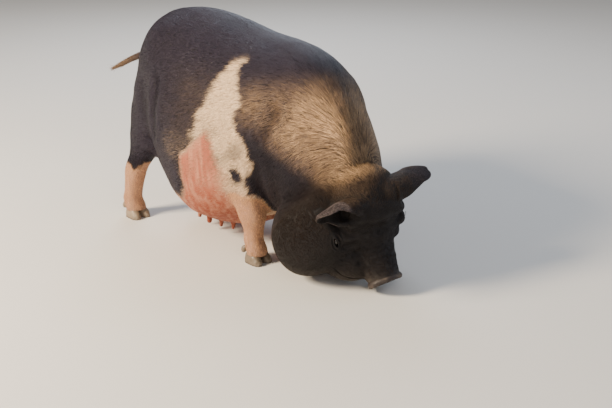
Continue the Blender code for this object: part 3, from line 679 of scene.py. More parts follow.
def distance_to_line(points, line):
    """Distance of each point to a line of straight stretches."""
    line = np.array(line, float)
    best = np.full(len(points), 9.0)
    for a, b in zip(line, line[1:]):
        along = b - a
        t = np.clip(((points - a) @ along) / (along @ along), 0, 1)
        best = np.minimum(best, np.linalg.norm(points - a - t[:, None] * along, axis=1))
    return best


# The skin's folds: half width, depth as a share of the deepest, then points along it, with Y outwards
BODY_FOLDS = {
    "behind_shoulder": (0.017, 1.10, (0.327, 0.176, 0.503), (0.320, 0.193, 0.473), (0.300, 0.206, 0.425)),
    "before_thigh": (0.016, 0.60, (-0.159, 0.219, 0.515), (-0.158, 0.231, 0.454), (-0.176, 0.228, 0.340)),
    "before_foreleg": (0.020, 1.00, (0.262, 0.19, 0.330), (0.250, 0.175, 0.235), (0.262, 0.150, 0.180)),
    "stifle": (0.016, 0.70, (-0.250, 0.20, 0.300), (-0.215, 0.20, 0.235), (-0.240, 0.17, 0.200)),
}
HEAD_FOLDS = {
    "below_brow": (0.014, 0.70, (0.104, 0, 0.066), (0.098, 0.040, 0.062), (0.084, 0.078, 0.044)),
    "over_eye": (0.013, 0.70, (0.084, 0.078, 0.044), (0.070, 0.102, 0.024), (0.046, 0.116, 0.010)),
    "cheek": (0.015, 1.25, (0.060, 0.114, -0.004), (0.110, 0.110, -0.022), (0.168, 0.080, -0.058)),
    "under_eye": (0.010, 0.60, (0.126, 0.080, 0.026), (0.118, 0.094, 0.000), (0.092, 0.108, -0.014)),
    "muzzle": (0.008, 0.35, (0.176, 0.052, 0.050), (0.184, 0.066, 0.010)),
    "nape": (0.022, 0.20, (-0.050, 0.02, 0.105), (-0.040, 0.09, 0.090)),
}


def fold_line(name, side):
    """A fold's line on one side of the body, in the maker's frame."""
    line = [(x, side * y, z) for x, y, z in (BODY_FOLDS | HEAD_FOLDS)[name][2:]]
    return [tuple(HEAD @ Vector(place)) for place in line] if name in HEAD_FOLDS else line


def crease(skin, depth):
    """Presses every fold into the skin and lifts a soft lip beside it."""
    points, normals = points_of(skin), normals_of(skin)
    moved = np.zeros(len(points))
    for side, _ in SIDES:
        for name, (width, share, *_) in (BODY_FOLDS | HEAD_FOLDS).items():
            away = distance_to_line(points, fold_line(name, side))
            moved -= depth * share * np.exp(-((away / width) ** 2))
            moved += 0.45 * depth * share * np.exp(-(((away - 2.2 * width) / (1.1 * width)) ** 2))
    set_points(skin, points + normals * moved[:, None])


def wrinkle(skin):
    """Soft irregularity of loose skin, finest on the belly, and faint bands across the muzzle."""
    points, normals = points_of(skin), normals_of(skin)
    ahead, aside, up = within(points, HEAD).T
    muzzle = ramp(ahead, 0.13, 0.17) * ramp(-ahead, -0.245, -0.225) * ramp(up, 0.0, 0.04)
    bands = 0.0005 * np.sin(ahead * 330 + 1.5 * np.sin(aside * 60))
    head = ramp(ahead_of_head_plane(points), -0.08, 0.02)
    loose = 0.0013 * ripple(points, 20) + 0.0005 * ripple(points, 52, 1.0) * (1 - head)
    set_points(skin, points + normals * (muzzle * bands + loose)[:, None])


def eye_places(tree):
    """The frame of each eye by its side's word: X along its slit, Z looking out, its centre the origin."""
    places = {}
    for side, word in SIDES:
        centre, half = in_maker_frame("eye_" + word)
        radius = max(half)
        outwards = (HEAD_TURN @ Vector((0.20, side, 0.16))).normalized()
        surface, normal = tree.find_nearest(centre + outwards * radius * 1.5)[:2]
        facing = (4 * normal + outwards).normalized()
        across = facing.cross(HEAD_TURN @ Vector((1, side * -0.15, -0.22))).normalized()
        place = Matrix((across.cross(facing), across, facing)).transposed().to_4x4()
        place.translation = surface - normal * (radius + EYE_DEPTH)
        places[word] = (place, radius)
    return places


def refine(skin, places):
    """Splits the faces round the eyes into finer ones and smooths them."""
    middles = numbers(skin.data.polygons, "center")
    near = np.zeros(len(middles), bool)
    for place, radius in places.values():
        near |= away_from(middles, place.translation) < 3.4 * radius
    only(skin)
    bpy.context.tool_settings.mesh_select_mode = (False, False, True)
    for parts in (skin.data.vertices, skin.data.edges):
        parts.foreach_set("select", np.zeros(len(parts), bool))
    skin.data.polygons.foreach_set("select", near)
    bpy.ops.object.mode_set(mode="EDIT")
    bpy.ops.mesh.subdivide(number_cuts=2)
    bpy.ops.mesh.vertices_smooth(factor=0.5, repeat=4)
    bpy.ops.object.mode_set(mode="OBJECT")


def lids(skin, places):
    """Raises a rim round each slit, heavier above, with creases beyond it that follow the slit."""
    points, normals = points_of(skin), normals_of(skin)
    moved = np.zeros(len(points))
    for place, radius in places.values():
        local = within(points, place) / radius
        near = (local[:, 2] > -0.3) & (np.linalg.norm(local, axis=1) < 3.2)
        height = local[:, 1] * upright(place)
        edge = np.hypot(local[:, 0] / EYE_SLIT[0], local[:, 1] / EYE_SLIT[1])
        away = np.hypot(local[:, 0], local[:, 1]) * (1 - 1 / np.maximum(edge, 0.2))
        shape = 0.0012 * np.exp(-(((away - 0.14) / 0.26) ** 2)) * (0.6 + 0.6 * ramp(height, -0.25, 0.35))
        ends = 1 - ramp(np.abs(local[:, 0]), 1.3, 2.4)
        for level, depth, breadth in LID_CREASES:
            arc = level * (1 - (local[:, 0] / 2.6) ** 2)
            shape += depth * ends * np.exp(-(((height - arc) / breadth) ** 2))
        moved[near] += shape[near]
    set_points(skin, points + normals * moved[:, None])


def upright(place):
    """1 where the eye frame's Y points up the face, -1 where it points down."""
    return 1.0 if place.to_3x3().col[1].dot(HEAD_TURN.col[2]) > 0 else -1.0


def cut(obj, cutters):
    """Cuts closed pieces out of the object, one after another."""
    for cutter in cutters:
        apply_modifier(obj, "BOOLEAN", object=cutter, operation="DIFFERENCE", solver="MANIFOLD")
        remove(cutter)


def mouth(tree, side):
    """A tube along the line of the mouth, half sunk in the muzzle, from under the disc to the cheek."""
    stations = []
    line = ((0.246, -0.022), (0.236, -0.024), (0.214, -0.030), (0.190, -0.036), (0.172, -0.039))
    for i, (x, z) in enumerate(line):
        origin = HEAD @ Vector((x, 0, z * 0.9))
        point = tree.ray_cast(origin, HEAD_TURN @ Vector((0, side, -0.05)))[0]
        stations.append((*point, 0.0030 * (0.5 if i == len(line) - 1 else 1.0)))
    return bent_tube("mouth", stations, 12, 4)


def fuse(pieces, name, voxel):
    """Joins closed pieces and remeshes them to one even surface."""
    made = joined(pieces, name)
    only(made)
    made.data.remesh_voxel_size = voxel
    bpy.ops.object.voxel_remesh()
    return made


def trunk_share(points):
    """1 on the trunk, falling to 0 on head, legs and belly's underside."""
    high = ramp(points[:, 2], 0.15, 0.27)
    behind_head = ramp(0.44 - points[:, 0] + 0.5 * (points[:, 2] - 0.3), 0.0, 0.08)
    off_tail = ramp(points[:, 0], RUMP_X - 0.03, RUMP_X)
    return high * behind_head * off_tail


class SOW_OT_skin(bpy.types.Operator):
    """Fuse the flesh into one skin, crease it, and open eyes, mouth and ears"""

    bl_idname = "sow.skin"
    bl_label = "Skin"
    bl_options = {"REGISTER", "UNDO"}

    def execute(self, context):
        sizes = context.scene.sow_sizes
        flesh = [trunk(), skull(), *masses()]
        flesh += [leg(side) for side, _ in SIDES for leg in (foreleg, hindleg)]
        skin = fuse(flesh, "skin", 2 * sizes.voxel)
        weigh(skin, "trunk", 0.12 + 0.88 * trunk_share(points_of(skin)))
        apply_modifier(skin, "SMOOTH", iterations=45, vertex_group="trunk")
        skin.vertex_groups.clear()
        points, normals = points_of(skin), normals_of(skin)
        inwards = sizes.coat_depth * (0.35 + 0.65 * trunk_share(points))
        set_points(skin, points - normals * inwards[:, None])
        extras = [*(ear(side) for side, _ in SIDES), tail(), *teats(tree_of(skin))]
        skin = fuse([skin, *extras], "skin", sizes.voxel)
        apply_modifier(skin, "SMOOTH", iterations=5)
        crease(skin, sizes.fold_depth)
        wrinkle(skin)
        places = eye_places(tree_of(skin))
        refine(skin, places)
        lids(skin, places)
        cutters = [mouth(tree_of(skin), side) for side, _ in SIDES]
        for place, radius in places.values():
            slit = (radius * EYE_SLIT[0], radius * EYE_SLIT[1], radius * 1.3)
            cutters.append(ellipsoid("slit", (0, 0, radius), slit, matrix=place))
            cutters.append(ellipsoid("socket", (0, 0, 0), (radius * 1.03,) * 3, matrix=place))
        cut(skin, cutters)
        finish_skin(skin, places, context.scene.sow_colours)
        return {"FINISHED"}


def settle(obj, finish, slot, *nodes):
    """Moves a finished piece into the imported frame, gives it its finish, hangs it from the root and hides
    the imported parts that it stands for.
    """
    obj.data.transform(Matrix.Translation(SHIFT))
    obj.data.materials.clear()
    obj.data.materials.append(finish)
    only(obj)
    bpy.ops.object.shade_smooth()
    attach(obj, "root")
    if nodes:
        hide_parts(*nodes)


def finish_skin(skin, places, colours):
    """Thins the skin out where it is plain, stores its markings and lets it stand for all flesh."""
    points = points_of(skin)
    plain = 0.3 + ramp(away_from(points, HEAD @ Vector((0.10, 0, 0))), 0.15, 0.30)
    for word, (place, radius) in places.items():
        plain *= away_from(points, place.translation) > 3.2 * radius
        skin["eye_" + word] = [value for row in place for value in row]
    weigh(skin, "plain", plain)
    count = sum(len(p.vertices) - 2 for p in skin.data.polygons)
    apply_modifier(skin, "DECIMATE", ratio=min(1, SKIN_TRIANGLES / count), vertex_group="plain")
    skin.vertex_groups.clear()
    points, normals = points_of(skin), normals_of(skin)
    pale, pink = markings(points)
    store(skin, "pale", pale)
    store(skin, "pink", pink)
    store(skin, "on_leg", leg_share(points))
    store(skin, "on_head", ramp(ahead_of_head_plane(points), -0.03, 0.05))
    store(skin, "shaded", 0.9 * ear_shares(points, normals)[1])
    flesh = ["torso", "neck", "head", "tail"] + [
        f"{part}_{word}" for part in ("foreleg", "hindleg", "ear") for _, word in SIDES
    ]
    settle(skin, hide_finish(colours), "black_hide", *flesh)


# Markings, the same on skin and coat

BELT_LEVELS = (0.15, 0.202, 0.229, 0.272, 0.313, 0.347, 0.383, 0.414, 0.446, 0.512, 0.565, 0.593, 0.628)
BELT_FRONT = (0.24, 0.240, 0.223, 0.224, 0.255, 0.268, 0.264, 0.236, 0.208, 0.204, 0.180, 0.160, 0.156)
BELT_BACK = (-0.05, -0.022, -0.018, -0.030, -0.030, -0.018, 0.026, 0.050, 0.062, 0.087, 0.105, 0.123, 0.136)
BELT_TOP = 0.632
PINK_PLACES = (-0.05, -0.030, 0.014, 0.058, 0.096, 0.120, 0.170)
PINK_TOP = (0.290, 0.307, 0.336, 0.376, 0.420, 0.400, 0.300)

# The lower border of the painted sunlit sheen on shoulder and neck, and of the sun-bleached hair on the flank
SUNNY_PLACES = (0.0, 0.15, 0.22, 0.27, 0.31, 0.36, 0.41, 0.46, 0.53, 0.57)
SUNNY_LOW = (0.30, 0.34, 0.46, 0.45, 0.43, 0.405, 0.385, 0.370, 0.310, 0.290)


def markings(points):
    """How pale each place is, and how bare and pink, from 0 to 1. Places are in the maker's frame."""
    x, y, z = points.T
    left = (y > 0).astype(float)
    wander = 0.007 * ripple(points, 34) + 0.004 * ripple(points, 95, 2.0)
    ragged = x + wander + left * (0.022 * np.sin(9 * z) - 0.012)
    back = np.interp(z, BELT_LEVELS, BELT_BACK)
    front = np.interp(z, BELT_LEVELS, BELT_FRONT)
    pink_top = np.interp(ragged, PINK_PLACES, PINK_TOP)
    belt = ramp(ragged - back, -0.022, 0.020) * ramp(front - ragged, -0.009, 0.009)
    belt *= ramp(BELT_TOP - z, 0, 0.03)
    spot = np.hypot((ragged - 0.204) / 0.021, (z - 0.294) / 0.024)
    belt *= 1 - (1 - left) * (1 - ramp(spot, 0.6, 1.2))
    pink = belt * ramp(pink_top - z, -0.012, 0.022) * ramp(0.200 - ragged, 0, 0.09)
    belt *= 1 - 0.26 * ramp(0.44 - z, 0, 0.08) * (1 - pink) * (0.6 + 0.4 * ripple(points, 60, 4.0))
    between = ramp(z - pink_top, -0.012, 0.012) * ramp(0.080 - ragged, 0, 0.05)
    belt *= 1 - 0.80 * between * ramp(0.42 - z, 0, 0.05)
    roan = 0.17 * (1 - ramp(np.hypot((ragged + 0.036) / 0.078, (z - 0.338) / 0.052), 0.5, 1.2))
    belly = ramp(0.150 - z + wander, -0.03, 0.02) * ramp(x, -0.31, -0.26) * ramp(0.13 - x, 0, 0.06)
    pale, rosy = np.maximum.reduce([belt, roan, belly]), np.maximum(pink, belly)
    foreleg = foreleg_share(points) * ramp(0.26 - z, 0, 0.03)
    hindleg_pale = ramp(0.195 - z + 1.6 * wander, -0.012, 0.014) * ramp(-0.24 - x, 0, 0.03)
    pale = np.maximum.reduce([pale, foreleg, hindleg_pale])
    return pale, np.maximum.reduce([rosy, 0.35 * foreleg, 0.35 * hindleg_pale])


def foreleg_share(points):
    """1 on the forelegs, 0 beside them."""
    x, y, z = points.T
    lean = np.interp(z, (0.02, 0.10, 0.19, 0.25), (0.014, -0.002, -0.018, -0.036))
    across = np.abs(y) - FORE_TRACK_HALF
    along = x - FORE_FOOT_X - lean - LEFT_FORE_STEP * (y > 0)
    return 1 - ramp(np.hypot(along, across), 0.058, 0.076)


def leg_share(points):
    """1 on all legs below elbow and stifle, 0 elsewhere."""
    x, y, z = points.T
    hind = ramp(-0.22 - x, 0, 0.04) * ramp(np.abs(y), 0.06, 0.10)
    return np.maximum(foreleg_share(points), hind) * ramp(0.26 - z, 0, 0.06)


def ahead_of_head_plane(points):
    """How far each place lies ahead of the plane that parts head and neck."""
    turn = np.array(HEAD_PLANE.to_3x3())
    return (points - np.array(HEAD_PLANE.translation)) @ turn[:, 0]


# Materials

class Value:
    """A node's output that takes part in Python arithmetic and adds its Math nodes."""

    def __init__(self, finish, socket):
        self.finish = finish
        self.socket = socket

    def __add__(self, other):
        return self.finish.maths("ADD", self, other)

    def __sub__(self, other):
        return self.finish.maths("SUBTRACT", self, other)

    def __rsub__(self, other):
        return self.finish.maths("SUBTRACT", other, self)

    def __mul__(self, other):
        return self.finish.maths("MULTIPLY", self, other)

    __radd__ = __add__
    __rmul__ = __mul__


class Finish:
    """A material while it is made: one method adds a node, and its inputs take values or other nodes."""

    def __init__(self, name, **constants):
        self.material = bpy.data.materials.new(name)
        self.material.use_nodes = True
        self.tree = self.material.node_tree
        self.place = self.node("ShaderNodeTexCoord", {}, {}, "Object")
        self.done(**constants)

    def done(self, **inputs):
        """The material, once its shader's own sockets of these names are fed."""
        shader = self.tree.nodes["Principled BSDF"]
        for name, value in inputs.items():
            self.feed(shader.inputs[name.replace("_", " ").title().replace("Ior", "IOR")], value)
        return self.material

    def feed(self, socket, value):
        if isinstance(value, Value):
            self.tree.links.new(value.socket, socket)
        else:
            socket.default_value = value

    def node(self, kind, settings, inputs, output=0):
        made = self.tree.nodes.new(kind)
        for name, value in settings.items():
            setattr(made, name, value)
        for name, value in inputs.items():
            self.feed(made.inputs[name], value)
        return Value(self, made.outputs[output])

    def maths(self, operation, a, b):
        return self.node("ShaderNodeMath", {"operation": operation}, {0: a, 1: b})

    def attribute(self, name, output="Fac"):
        return self.node("ShaderNodeAttribute", {"attribute_name": name}, {}, output)

    def height(self):
        return self.node("ShaderNodeSeparateXYZ", {}, {0: self.place}, "Z")

    def noise(self, scale, detail=3.0, place=None):
        inputs = {"Vector": place or self.place, "Scale": scale, "Detail": detail}
        return self.node("ShaderNodeTexNoise", {}, inputs)

    def drawn(self, turn, scale):
        """The place turned by these degrees, then scaled along each axis."""
        turned = {"Vector": self.place, "Rotation": [math.radians(a) for a in turn], "Scale": scale}
        return self.node("ShaderNodeMapping", {"vector_type": "POINT"}, turned)

    def streaks(self, turn):
        """Fine noise drawn out along X, once the place is turned by these degrees."""
        return self.noise(1.0, 3.0, self.drawn(turn, (22.0, 420.0, 420.0)))

    def between(self, value, low, high):
        """The value's place between two bounds, held to 0 and 1."""
        return self.node("ShaderNodeMapRange", {}, {"Value": value, "From Min": low, "From Max": high})

    def mix(self, share, first, second):
        """A number between two."""
        return self.node("ShaderNodeMix", {"data_type": "FLOAT"}, {0: share, 2: first, 3: second})

    def blend(self, share, first, second):
        """A colour between two."""
        first, second = (c if isinstance(c, Value) else (*c, 1.0) for c in (first, second))
        return self.node("ShaderNodeMix", {"data_type": "RGBA"}, {0: share, 6: first, 7: second}, 2)

    def bump(self, height, distance, strength):
        inputs = {"Height": height, "Distance": distance, "Strength": strength}
        return self.node("ShaderNodeBump", {}, inputs)


def hide_finish(colours):
    """Skin: black or pink by the markings, mottled, with short hair as a bump along the coat's lie."""
    made = Finish("hide", specular_ior_level=0.25)
    pale, pink, shaded = (made.attribute(name) for name in ("pale", "pink", "shaded"))
    mottle = made.noise(9.0)
    fine = made.noise(85.0, 4.0)
    streaks = made.streaks((0, 24, 0))
    head_turn = [math.degrees(a) for a in HEAD_TURN.to_euler()]
    for share, turn in (("on_leg", (0, 90, 0)), ("on_head", head_turn)):
        streaks = made.mix(made.attribute(share), streaks, made.streaks(turn))
    black = made.blend(mottle, colours.black_hide, [2.2 * c for c in colours.black_hide])
    height = made.height()
    bands = made.noise(1.0, 3.0, made.drawn((0, 0, 0), (55.0, 55.0, 7.0)))
    redder = made.between(height + 0.10 * (mottle - 0.5), 0.25, 0.08)
    rosy = made.blend(redder, colours.pink_hide, (0.22, 0.034, 0.012))
    rosy = made.blend(made.between(bands, 0.42, 0.66) * 0.60, rosy, (0.48, 0.23, 0.145))
    rosy = made.blend(made.between(made.noise(26.0), 0.55, 0.80) * 0.35, rosy, (0.34, 0.11, 0.07))
    cream = made.blend(fine, (0.50, 0.31, 0.20), (0.38, 0.23, 0.15))
    light = made.blend(pink, cream, rosy)
    colour = made.blend(made.between(pale + 0.3 * (fine - 0.5), 0.25, 0.75), black, light)
    colour = made.blend(made.between(height + 0.04 * fine, 0.10, 0.03) * 0.30, colour, colours.mud)
    colour = made.blend(shaded, colour, (0.003, 0.002, 0.002))
    return made.done(
        base_color=colour,
        roughness=0.50 + 0.25 * fine,
        normal=made.bump(streaks + 0.3 * fine, 0.0012, 0.7),
    )


def hair_finish():
    """Hair: the colour stored on each tuft, made lighter and darker by fine noise."""
    made = Finish("coat_hair", specular_ior_level=0.20)
    tint = made.attribute("tint", "Color")
    streak = made.noise(300.0, 2.0)
    streaked = {0: tint, "Scale": 0.7 + 0.6 * streak}
    colour = made.node("ShaderNodeVectorMath", {"operation": "SCALE"}, streaked)
    return made.done(base_color=colour, roughness=0.46)


def eye_finish():
    """Eyeball: a very dark brown iris round a black pupil, under a wet gloss."""
    made = Finish("eye_ball", coat_weight=0.6, specular_ior_level=0.3)
    across = made.attribute("from_pupil")
    iris = made.blend(made.noise(900.0), (0.014, 0.007, 0.004), (0.038, 0.019, 0.009))
    colour = made.blend(made.between(across, 0.34, 0.42), (0.002, 0.002, 0.002), iris)
    colour = made.blend(made.between(across, 0.72, 0.82), colour, (0.022, 0.013, 0.010))
    return made.done(base_color=colour, roughness=0.12)


def snout_finish(colours):
    """The disc: dark grey rubbery hide, pitted, with drying mud."""
    made = Finish("snout_disc", specular_ior_level=0.3)
    pits = made.node("ShaderNodeTexVoronoi", {}, {"Vector": made.place, "Scale": 420.0})
    patches = made.between(made.noise(38.0, 5.0), 0.45, 0.70)
    dark = made.blend(made.noise(60.0), (0.014, 0.010, 0.010), (0.038, 0.029, 0.027))
    return made.done(
        base_color=made.blend(patches * 0.45, dark, colours.mud),
        roughness=0.50 + 0.35 * patches,
        normal=made.bump(pits + 0.6 * patches, 0.0007, 0.7),
    )


def horn_finish(name, colour, mud):
    """Claw horn: growth rings across it, streaks down it, mud towards the sole."""
    made = Finish(name)
    waves = {0: made.place, "Scale": 60.0, "Distortion": 2.0}
    rings = made.node("ShaderNodeTexWave", {"bands_direction": "Z"}, waves)
    streaks = made.noise(70.0, 4.0)
    horn = made.blend(streaks, colour, [0.45 * c for c in colour])
    soiled = made.between(made.height() + 0.02 * streaks, 0.026, 0.006)
    return made.done(
        base_color=made.blend(soiled * 0.8, horn, mud),
        roughness=0.45 + 0.3 * soiled,
        normal=made.bump(rings + 0.5 * streaks, 0.0006, 0.5),
    )


def plain_finish(name, colour, roughness):
    made = Finish(name)
    soft = made.blend(made.noise(1.5), colour, [0.97 * c for c in colour])
    return made.done(base_color=soft, roughness=roughness)


# Eyes, snout and hooves

class SOW_OT_eyes(bpy.types.Operator):
    """Set a glossy ball with iris and pupil behind each pair of lids"""

    bl_idname = "sow.eyes"
    bl_label = "Eyes"
    bl_options = {"REGISTER", "UNDO"}

    def execute(self, context):
        finish = eye_finish()
        for _, word in SIDES:
            place, radius = eye_frame(word)
            ball = ellipsoid("eye_" + word + "_ball", (0, 0, 0), (radius * 0.97,) * 3)
            points = points_of(ball)
            out = points[:, 2] / radius
            points[:, 2] += 0.0009 * ramp(out, 0.72, 0.97)
            set_points(ball, points)
            store(ball, "from_pupil", np.hypot(points[:, 0], points[:, 1]) / radius + 2.0 * (out < 0))
            ball.data.transform(place)
            settle(ball, finish, "eye", "eye_" + word)
        return {"FINISHED"}


def eye_frame(word):
    """The frame that the skin was cut for at this eye, and the ball's radius."""
    kept = list(bpy.data.objects["skin"]["eye_" + word])
    return Matrix([kept[i : i + 4] for i in range(0, 16, 4)]), max(in_maker_frame("eye_" + word)[1])


class SOW_OT_snout(bpy.types.Operator):
    """Turn the rooting disc with its raised rim, and bore the nostrils"""

    bl_idname = "sow.snout"
    bl_label = "Snout disc"
    bl_options = {"REGISTER", "UNDO"}

    def execute(self, context):
        radius, half = DISC_RADIUS, DISC_THICKNESS / 2
        profile = [
            (-half * 1.3, radius * 0.60),
            (-half, radius * 0.82),
            (-half * 0.5, radius * 0.96),
            (half * 0.15, radius * 1.02),
            (half * 0.75, radius * 0.98),
            (half * 1.0, radius * 0.88),
            (half * 0.82, radius * 0.74),
            (half * 0.72, radius * 0.45),
            (half * 0.80, radius * 0.12),
        ]
        turns = np.linspace(0, 2 * math.pi, 72, endpoint=False)
        rings = []
        for x, r in smooth_rows(profile, 4):
            ring = np.column_stack([np.full(72, x), 1.06 * r * np.cos(turns), 0.94 * r * np.sin(turns)])
            rings.append(ring)
        disc = tube("snout", rings)
        points = points_of(disc)
        front = ramp(points[:, 0], 0.0, half * 0.6)
        middle = 1 - ramp(np.abs(points[:, 1]), 0.004, 0.012)
        points[:, 0] += front * (-0.0012 * middle + 0.0006 * ripple(points, 160))
        set_points(disc, points)
        disc.data.transform(DISC)
        cutters = []
        for side, _ in SIDES:
            centre, radii = (half * 0.7, side * 0.0195, 0.006), (0.013, 0.0085, 0.0106)
            cutters.append(ellipsoid("nostril", centre, radii, (side * -18, 0, 0), DISC))
        cut(disc, cutters)
        settle(disc, snout_finish(context.scene.sow_colours), "snout_hide", "snout_disc")
        return {"FINISHED"}


def claw(place, seed):
    """One hoof with a flat sole, a sloping front wall and a worn, rounded toe. X runs to the toe."""
    stations = (
        (-0.48, 0.55, 0.62),
        (-0.38, 0.90, 0.90),
        (-0.12, 1.00, 1.00),
        (0.18, 0.97, 0.78),
        (0.38, 0.76, 0.52),
        (0.50, 0.40, 0.28),
    )
    turns = np.linspace(0, 2 * math.pi, 48, endpoint=False)
    rings = []
    for along, width, rise in smooth_rows(stations, 6):
        side, up = superellipse(turns, 0.75)
        ring = np.column_stack([
            np.full(48, along * CLAW_LENGTH),
            CLAW_HALF_WIDTH * width * side,
            CLAW_HEIGHT * rise * np.maximum(0.0, up),
        ])
        rings.append(ring)
    made = tube("claw", rings)
    points = points_of(made)
    wear = 0.0007 * ripple(points, 190, seed) * ramp(points[:, 2], 0.0, 0.006)
    points[:, 1] += np.sign(points[:, 1]) * wear
    set_points(made, points)
    made.data.transform(place)
    return made


class SOW_OT_hooves(bpy.types.Operator):
    """Shape the two claws and two dewclaws of every foot"""

    bl_idname = "sow.hooves"
    bl_label = "Hooves"
    bl_options = {"REGISTER", "UNDO"}

    def execute(self, context):
        colours = context.scene.sow_colours
        finishes = {
            "fore": horn_finish("fore_horn", tuple(0.62 * c for c in colours.horn), colours.mud),
            "hind": horn_finish("hind_horn", colours.horn, colours.mud),
        }
        for seed, (label, (middle, side)) in enumerate(foot_places().items()):
            for half, word in ((1, "outer"), (-1, "inner")):
                outwards = half * side
                shift = Vector((0.016, outwards * (CLAW_HALF_WIDTH + 0.0012), 0))
                splay = Matrix.Rotation(math.radians(5) * outwards, 4, "Z")
                hoof = claw(Matrix.Translation(middle + shift) @ splay, seed + half)
                hoof.name = f"claw_{label}_{word}"
                settle(hoof, finishes[label[:4]], "horn", f"hoof_{label}_{word}")
                radii, place = (0.0095, 0.0088, DEWCLAW_LENGTH / 2), dewclaw_place(middle, outwards)
                dew = ellipsoid(f"spur_{label}_{word}", (0, 0, 0.014), radii, matrix=place, segments=24)
                settle(dew, finishes[label[:4]], "horn", f"dewclaw_{label}_{word}")
        return {"FINISHED"}


# The coat

def lie_of(points, normals):
    """The way the hair points at each place: back over the trunk, down the flanks and legs, up the face."""
    x, y, z = points.T
    side, steep = np.clip(from_crest(points) / 0.09, -1, 1), np.abs(normals[:, 1])
    level = np.zeros(len(points))
    flow = np.column_stack([level - 1, 0.10 * side, -0.42 * steep])
    shoulder = ramp(x, 0.14, 0.26) * ramp(0.50 - z, 0, 0.16)
    parting = 0.5 * np.clip(within(points, HEAD)[:, 1] / 0.06, -1, 1)
    up_face = np.column_stack([level - 1, parting, level]) @ np.array(HEAD_TURN).T
    ways = [
        (ramp(-0.25 - x, 0, 0.14), np.array((-0.25, 0, -1.0))),
        (ramp(x, 0.26, 0.42) * ramp(z, 0.18, 0.30), np.column_stack([level - 1, 0.16 * side, -0.34 * steep])),
        (shoulder, np.column_stack([level - 0.75, 0.15 * side, -0.95 * steep])),
        (leg_share(points), np.array((-0.15, 0, -1.0))),
        (ramp(ahead_of_head_plane(points), -0.02, 0.05), up_face),
    ]
    for ear_side, _ in SIDES:
        place = ear_place(ear_side)
        ways.append((ear_share(points, place), np.array(place.col[0][:3])))
    ways.append((tail_share(points), 3 * np.array(TAIL_TIP - TAIL_ROOT)))
    for share, way in ways:
        flow = flow * (1 - share[:, None]) + way * share[:, None]
    wave = 0.13 * ripple(points, 18) + 0.06 * ripple(points, 60, 3.0)
    flow = flow + np.cross(normals, flow) * wave[:, None]
    return unit(flow - normals * (flow * normals).sum(1, keepdims=True))


def ear_share(points, place):
    """1 on the free part of the ear of that frame, 0 elsewhere."""
    local = within(points, place)
    close = (np.abs(local[:, 1]) < 0.065) & (local[:, 2] < 0.02) & (local[:, 2] > -0.085)
    return ramp(local[:, 0], 0.024, 0.040) * close


def ear_shares(points, normals):
    """1 on the outside of both ears, then 1 in their hollows."""
    outside, hollow = np.zeros(len(points)), np.zeros(len(points))
    for side, _ in SIDES:
        place = ear_place(side)
        share, turn = ear_share(points, place), np.array(place.to_3x3())
        to_middle = (np.array(place @ Vector((0, 0, -0.030))) - points) @ turn
        to_middle[:, 0] = 0
        inner = ((normals @ turn) * unit(to_middle)).sum(axis=1) > 0.1
        outside = np.maximum(outside, share * ~inner)
        hollow = np.maximum(hollow, share * inner)
    return outside, hollow


def tail_share(points):
    """1 on the tail beyond its root, 0 elsewhere."""
    middle = TAIL_ROOT.lerp(TAIL_TIP, 0.5) + TAIL_BOW
    away = distance_to_line(points, [TAIL_ROOT + TAIL_BOW * 0.3, middle, TAIL_TIP])
    return ramp(RUMP_X - 0.006 - points[:, 0], 0, 0.01) * (away < 0.03)


def zones(points, normals):
    """The name of the coat piece that each place belongs to."""
    x, y, z = points.T
    turn = np.degrees(np.arctan2(np.abs(y), z - 0.38))
    right = y < 0
    names = np.full(len(points), "coat_belly", dtype="<U20")
    names[turn < 115] = "coat_flank_left"
    names[(turn < 115) & right] = "coat_flank_right"
    front = (x > 0.13) & (turn < 130)
    names[front] = "coat_shoulder_left"
    names[front & right] = "coat_shoulder_right"
    names[(turn < 32) & (x < 0.24)] = "coat_back"
    names[(x < -0.27) & (z > 0.17)] = "coat_hams"
    names[(x < -0.27) & (z > 0.47)] = "coat_rump"
    names[(x > 0.33) & (z > 0.1)] = "coat_neck"
    names[leg_share(points) > 0.3] = "coat_legs"
    local = within(points, HEAD)
    head = ahead_of_head_plane(points) > 0
    names[head] = "coat_jowls"
    names[head & (local[:, 2] > 0)] = "coat_brow"
    names[head & (local[:, 0] > 0.13)] = "coat_muzzle"
    for side, word in SIDES:
        names[ear_share(points, ear_place(side)) > 0.5] = "coat_ear_" + word
    names[tail_share(points) > 0.5] = "coat_tail"
    return names


class SOW_OT_coat(bpy.types.Operator):
    """Grow the coat as solid tufts that lie along the skin"""

    bl_idname = "sow.coat"
    bl_label = "Coat"
    bl_options = {"REGISTER", "UNDO"}

    def execute(self, context):
        coat, colours = context.scene.sow_coat, context.scene.sow_colours
        skin = bpy.data.objects["skin"]
        rng = np.random.default_rng(coat.seed)
        tree = tree_of(skin, SHIFT)
        roots, normals = sown(skin, coat, rng)
        names = zones(roots, normals)
        finish = hair_finish()
        for name in sorted(set(names)):
            here = names == name
            tufts = laid_tufts(roots[here], normals[here], tree, coat, rng)
            tint = tuft_colours(tufts[:, 1:3].mean(axis=1), normals[here], colours, rng)
            if name == "coat_brow":
                lashes, lash_tint = eye_lashes(rng)
                tufts, tint = np.concatenate([tufts, lashes]), np.concatenate([tint, lash_tint])
            piece = tuft_mesh(name, tufts)
            stored = piece.data.attributes.new("tint", "FLOAT_COLOR", "POINT")
            stored.data.foreach_set("color", tint.ravel())
            lay_out(piece, name, tufts[:, 0])
            settle(piece, finish, "black_hide")
        return {"FINISHED"}


